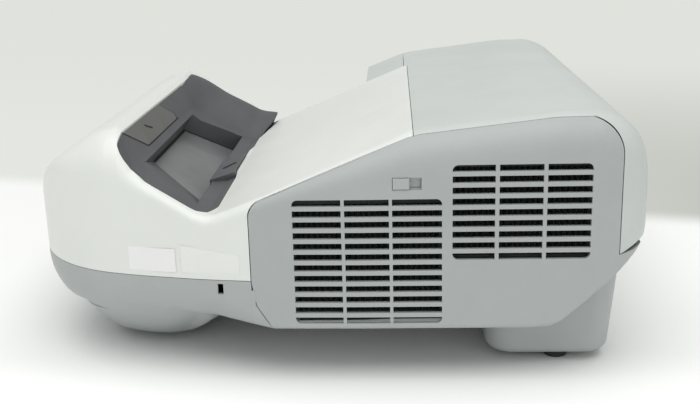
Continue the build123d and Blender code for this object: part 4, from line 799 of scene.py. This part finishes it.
@dataclass(frozen=True)
class ShadowLine:
    """Painted shadow: a black ribbon in a groove or against a wall, standing in for the shade there.

    Args:
        name: Name of the piece.
        face: Where it lies.
        points: Middle of the ribbon on that face, in millimetres.
        width: Width of the ribbon.
        lift: How far it stands off the face.
    """

    name: str
    face: FlatFace
    points: tuple[tuple[float, float], ...]
    width: float
    lift: float = 0.12 * MM

    def edges(self) -> np.ndarray:
        """Both edges of the ribbon.

        At a bend between the unit steps s and t the mitre runs along m = s + t, divided by its
        length along t, and the edges lie at the middle plus and minus m turned by a right angle
        times w / 2, so that the ribbon stays w wide.
        """
        middle = np.array(self.points) * MM
        step = np.diff(middle, axis=0)
        step /= np.linalg.norm(step, axis=1, keepdims=True)
        before, after = np.vstack([step[:1], step]), np.vstack([step, step[-1:]])
        mitre = before + after
        mitre /= (mitre * after).sum(axis=1, keepdims=True)
        side = np.stack([mitre[:, 1], -mitre[:, 0]], axis=-1) * (self.width / 2)
        return np.stack([middle - side, middle + side], axis=1)

    def build(self, shop: PaintShop) -> bpy.types.Object:
        """Makes the ribbon and lets it ride on the chassis.

        Args:
            shop: Where its material comes from.

        Returns:
            The ribbon.
        """
        points = self.face.over(self.edges(), self.lift)
        line = surface_piece(self.name, points, shop.material("shadow_gap", SHADOW_GAP))
        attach(line, "chassis")
        return line


@dataclass(frozen=True)
class Viewpoint:
    """Where the camera stands and looks.

    Args:
        place: Position.
        down: Pitch below the horizon, in degrees.
        left: Turn to the left, in degrees.
        roll: Clockwise lean, in degrees.
        lens_mm: Focal length for the width of the sensor.
    """

    place: tuple[float, float, float]
    down: float
    left: float
    roll: float
    lens_mm: float

    def matrix(self) -> Matrix:
        """Pose of the camera: right, up and backwards as its columns."""
        down, left, roll = (math.radians(a) for a in (self.down, self.left, self.roll))
        ahead = Vector(
            (-math.sin(left) * math.cos(down), math.cos(left) * math.cos(down), -math.sin(down))
        )
        right = Vector((math.cos(left), math.sin(left), 0.0))
        up = right.cross(ahead)
        leaned = right * math.cos(roll) - up * math.sin(roll)
        raised = right * math.sin(roll) + up * math.cos(roll)
        pose = Matrix((leaned, raised, -ahead)).transposed().to_4x4()
        pose.translation = Vector(self.place)
        return pose


@dataclass(frozen=True)
class Lamp:
    """A soft area light.

    Args:
        name: Name of the light.
        place: Position.
        target: Point it faces.
        size: Width and height.
        watts: Power.
        colour: Tint.
    """

    name: str
    place: tuple[float, float, float]
    target: tuple[float, float, float]
    size: tuple[float, float]
    watts: float
    colour: tuple[float, float, float] = (1.0, 1.0, 1.0)

    def build(self) -> bpy.types.Object:
        """Adds the light to the scene."""
        data = bpy.data.lights.new(self.name, "AREA")
        data.shape = "RECTANGLE"
        data.size, data.size_y = self.size
        data.energy = self.watts
        data.color = self.colour
        lamp = bpy.data.objects.new(self.name, data)
        lamp.location = self.place
        aim = Vector(self.target) - Vector(self.place)
        lamp.rotation_euler = aim.to_track_quat("-Z", "Y").to_euler()
        bpy.context.scene.collection.objects.link(lamp)
        return lamp


@dataclass(frozen=True)
class Table:
    """Table top, whose far part the camera and reflections see as a pale wall with painted shade at
    its foot on the right.

    Args:
        half_side: Half the length of a side.
        colour: Colour of the table.
        slant: How far the foot of the wall comes nearer for each metre to the right.
        wall: Distances over which the table turns into the wall.
        wall_left: Colour of the wall at its foot, left.
        wall_right: The same on the right, darker: painted shade at the foot of the wall.
        wall_across: Places between which the left goes over into the right.
        wall_top: Colour of the wall higher up.
        wall_rise: Distances over which the foot goes over into the top.
        near: Distances in front over which the glow of the near part sets in.
        glow: Painted light that the near part gives off, which brightens it as extra lamp light
            would.
        rough: Roughness.
    """

    half_side: float = 6.0
    colour: tuple[float, float, float] = (0.93, 0.932, 0.925)
    slant: float = 0.256
    wall: tuple[float, float] = (0.180, 0.235)
    wall_left: tuple[float, float, float] = (0.780, 0.800, 0.755)
    wall_right: tuple[float, float, float] = (0.555, 0.570, 0.530)
    wall_across: tuple[float, float] = (0.0, 0.36)
    wall_top: tuple[float, float, float] = (0.745, 0.768, 0.720)
    wall_rise: tuple[float, float] = (0.20, 1.25)
    near: tuple[float, float] = (0.14, 0.20)
    glow: tuple[float, float, float] = (0.10, 0.10, 0.098)
    rough: float = 0.8

    def build(self) -> None:
        """Adds the table to the stage."""
        side = np.linspace(-self.half_side, self.half_side, 3)
        x, y = np.meshgrid(side, side, indexing="ij")
        floor = surface_piece("floor", np.stack([x, y, 0 * x], axis=-1), self._material())
        floor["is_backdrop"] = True

    def _material(self) -> bpy.types.Material:
        """Plain table. Its far part is a pale wall with painted shade at its foot on the right, and
        its near part has painted light. The camera, reflections and clear things see both of these,
        and nothing else does.
        """
        black = (0.0, 0.0, 0.0)
        tree = ShaderTree("floor")
        place = tree.place()
        x, y = (tree.node("ShaderNodeSeparateXYZ", [place], output=axis) for axis in "XY")
        camera, glossy, clear = (
            tree.node("ShaderNodeLightPath", output=f"Is {kind} Ray")
            for kind in ("Camera", "Glossy", "Transmission")
        )
        seen = (camera + glossy + clear).clip()
        behind = y + x * self.slant
        wall = behind.step(*self.wall) * seen
        # Painted shade: the foot of the wall gets darker towards the right.
        foot = tree.mix(x.step(*self.wall_across), self.wall_left, self.wall_right)
        shade = tree.mix(behind.step(*self.wall_rise), foot, self.wall_top)
        tree.set("Base Color", tree.mix(wall, self.colour, black))
        # Painted light: the near part of the table glows for the camera, reflections and clear
        # things, brightening it round the object's shadow.
        glow = tree.mix((0.0 - y).step(*self.near) * seen, black, self.glow)
        tree.set("Emission Color", tree.mix(wall, glow, shade))
        tree.set("Emission Strength", 1.0)
        tree.set("Specular IOR Level", 0.0)
        tree.set("Roughness", self.rough)
        return tree.material


@dataclass(frozen=True)
class Studio:
    """Table, world, lights and camera.

    Args:
        view: The camera.
        lamps: The lights.
        world_strength: Brightness of the even light.
        world_colour: Its tint.
        table: What the object stands on.
    """

    view: Viewpoint
    lamps: tuple[Lamp, ...]
    world_strength: float
    world_colour: tuple[float, float, float]
    table: Table = Table()

    def build(self) -> None:
        """Adds the stage and the camera."""
        self.table.build()
        self._world()
        for lamp in self.lamps:
            lamp.build()
        data = bpy.data.cameras.new("photo_camera")
        data.sensor_width = SENSOR_WIDTH_MM
        data.sensor_fit = "HORIZONTAL"
        data.lens = self.view.lens_mm
        data.clip_start = 0.01
        camera = bpy.data.objects.new("photo_camera", data)
        camera.matrix_world = self.view.matrix()
        bpy.context.scene.collection.objects.link(camera)
        bpy.context.scene.camera = camera
        bpy.context.scene.view_settings.view_transform = "Standard"

    def _world(self) -> None:
        """Lights the scene evenly from all round."""
        world = bpy.data.worlds.new("studio")
        world.use_nodes = True
        shade = world.node_tree.nodes["Background"]
        shade.inputs["Color"].default_value = (*self.world_colour, 1.0)
        shade.inputs["Strength"].default_value = self.world_strength
        bpy.context.scene.world = world


VIEW = Viewpoint(place=(0.043, -0.719, 0.264), down=16.0, left=2.75, roll=1.5, lens_mm=51.43)
LAMPS = (
    Lamp("ceiling", (0.0, -0.55, 2.6), (0.0, 0.0, 0.0), (3.0, 3.0), 56.0, (1.0, 0.995, 0.98)),
    Lamp("window_side", (-2.2, -1.6, 1.3), (0.0, 0.0, 0.08), (1.6, 1.4), 1.0, (0.97, 0.99, 1.0)),
    Lamp("room", (1.3, -2.4, 1.1), (0.05, 0.0, 0.08), (2.0, 1.6), 4.0),
)
STUDIO = Studio(VIEW, LAMPS, world_strength=0.50, world_colour=(0.98, 1.0, 0.99))
ROUND_PIECE_DEGREES = 30.0
SMOOTH_SKINS: dict[float, tuple[str, ...]] = {
    32.0: (
        "front_cover", "top_cover", "bottom_case", "filter_cover", "control_deck", "lamp_cover",
    ),
    24.0: ("window_bezel", "sensor_panel"),
    ROUND_PIECE_DEGREES: (
        "filter_latch", "focus_ring", "concave_mirror", "lens_glass", "lens_barrel",
        "lamp_reflector", "intake_rotor", "exhaust_rotor", "intake_fan_frame",
        "exhaust_fan_frame", "front_foot", "rear_foot_near", "rear_foot_far",
    ),
}
LABELS = (
    Label("asset_label", (-0.1145, -0.0855), (0.0665, 0.0808), (0.0665, 0.0808), PAPER),
    Label("clear_label", (-0.0820, -0.0475), (0.0667, 0.0835), (0.0672, 0.0785), CLEAR_FILM),
)
STEEP_FACE = FlatFace(origin=(-120.72, 0.0, 146.15), across=(12.0, 0.0, -24.5))
GLASS_PLANE = FlatFace(origin=(-115.0, -41.0, 113.0), across=(33.5, 0.0, -21.0))
PAD_TOP = FlatFace(origin=(-69.2, -66.0, 103.3), across=(1.0, 0.0, 0.0))
# Painted shadows: black ribbons in the plate's groove, the nail slot and the pad's slot, and along
# two edges of the glass.
SHADOW_LINES = (
    ShadowLine(
        "plate_groove_shadow",
        STEEP_FACE,
        ((3.4, -142.8), (17.8, -115.4), (19.6, -112.3), (20.2, -109.0), (20.2, -21.0)),
        0.9 * MM,
    ),
    ShadowLine("nail_slot_shadow", STEEP_FACE, ((8.6, -97.6), (11.2, -91.5), (13.2, -85.4)), 1.2 * MM),
    ShadowLine("pad_slot_shadow", PAD_TOP, ((-3.1, -8.5), (3.1, 8.5)), 1.9 * MM),
    ShadowLine("glass_gap_shadow", GLASS_PLANE, ((0.8, -50.0), (0.8, 49.2), (39.0, 69.4)), 2.0 * MM),
)


class Projector:
    """The whole object: finishes on the CAD nodes, smooth skins, labels, fairings and black ribbons
    of painted shadow.
    """

    def __init__(self, shop: PaintShop) -> None:
        """Reads the slot and the body of each node from the record."""
        record = frame["record"]
        self.shop = shop
        self.slots = {row["node"]: Slot(row["material_slot"]) for row in record["subparts"]}
        self.body_of = {
            node: body for body, nodes in record["behaviour"]["bodies"].items() for node in nodes
        }

    def build(self) -> None:
        """Paints every node, then adds the skins and the pieces of the scene's own."""
        for node, obj in frame["nodes"].items():
            slot = self.slots[node]
            obj.data.materials.clear()
            obj.data.materials.append(self.shop.material(slot.value, FINISHES[slot]))
        skins = SkinSet(self.shop, self.slots, self.body_of)
        for degrees, nodes in SMOOTH_SKINS.items():
            for node in nodes:
                skins.build(node, degrees)
        for node in self.slots:
            if node.endswith("_key"):
                skins.build(node, ROUND_PIECE_DEGREES)
        near = PodFairing("pod_fairing_near")
        far = PodFairing("pod_fairing_far", mirrored=True, roll=25.0 * MM)
        for piece in (*LABELS, SillCorner(), near, far, *SHADOW_LINES):
            piece.build(self.shop)


def corners() -> list[list[float]]:
    """Lowest and highest corner of the shown object."""
    return [[float(v) for v in corner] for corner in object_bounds()]


def main() -> None:
    """Builds the scene."""
    logging.basicConfig(level=logging.INFO)
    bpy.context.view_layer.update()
    Projector(PaintShop()).build()
    STUDIO.build()


if __name__ == "__main__":
    main()
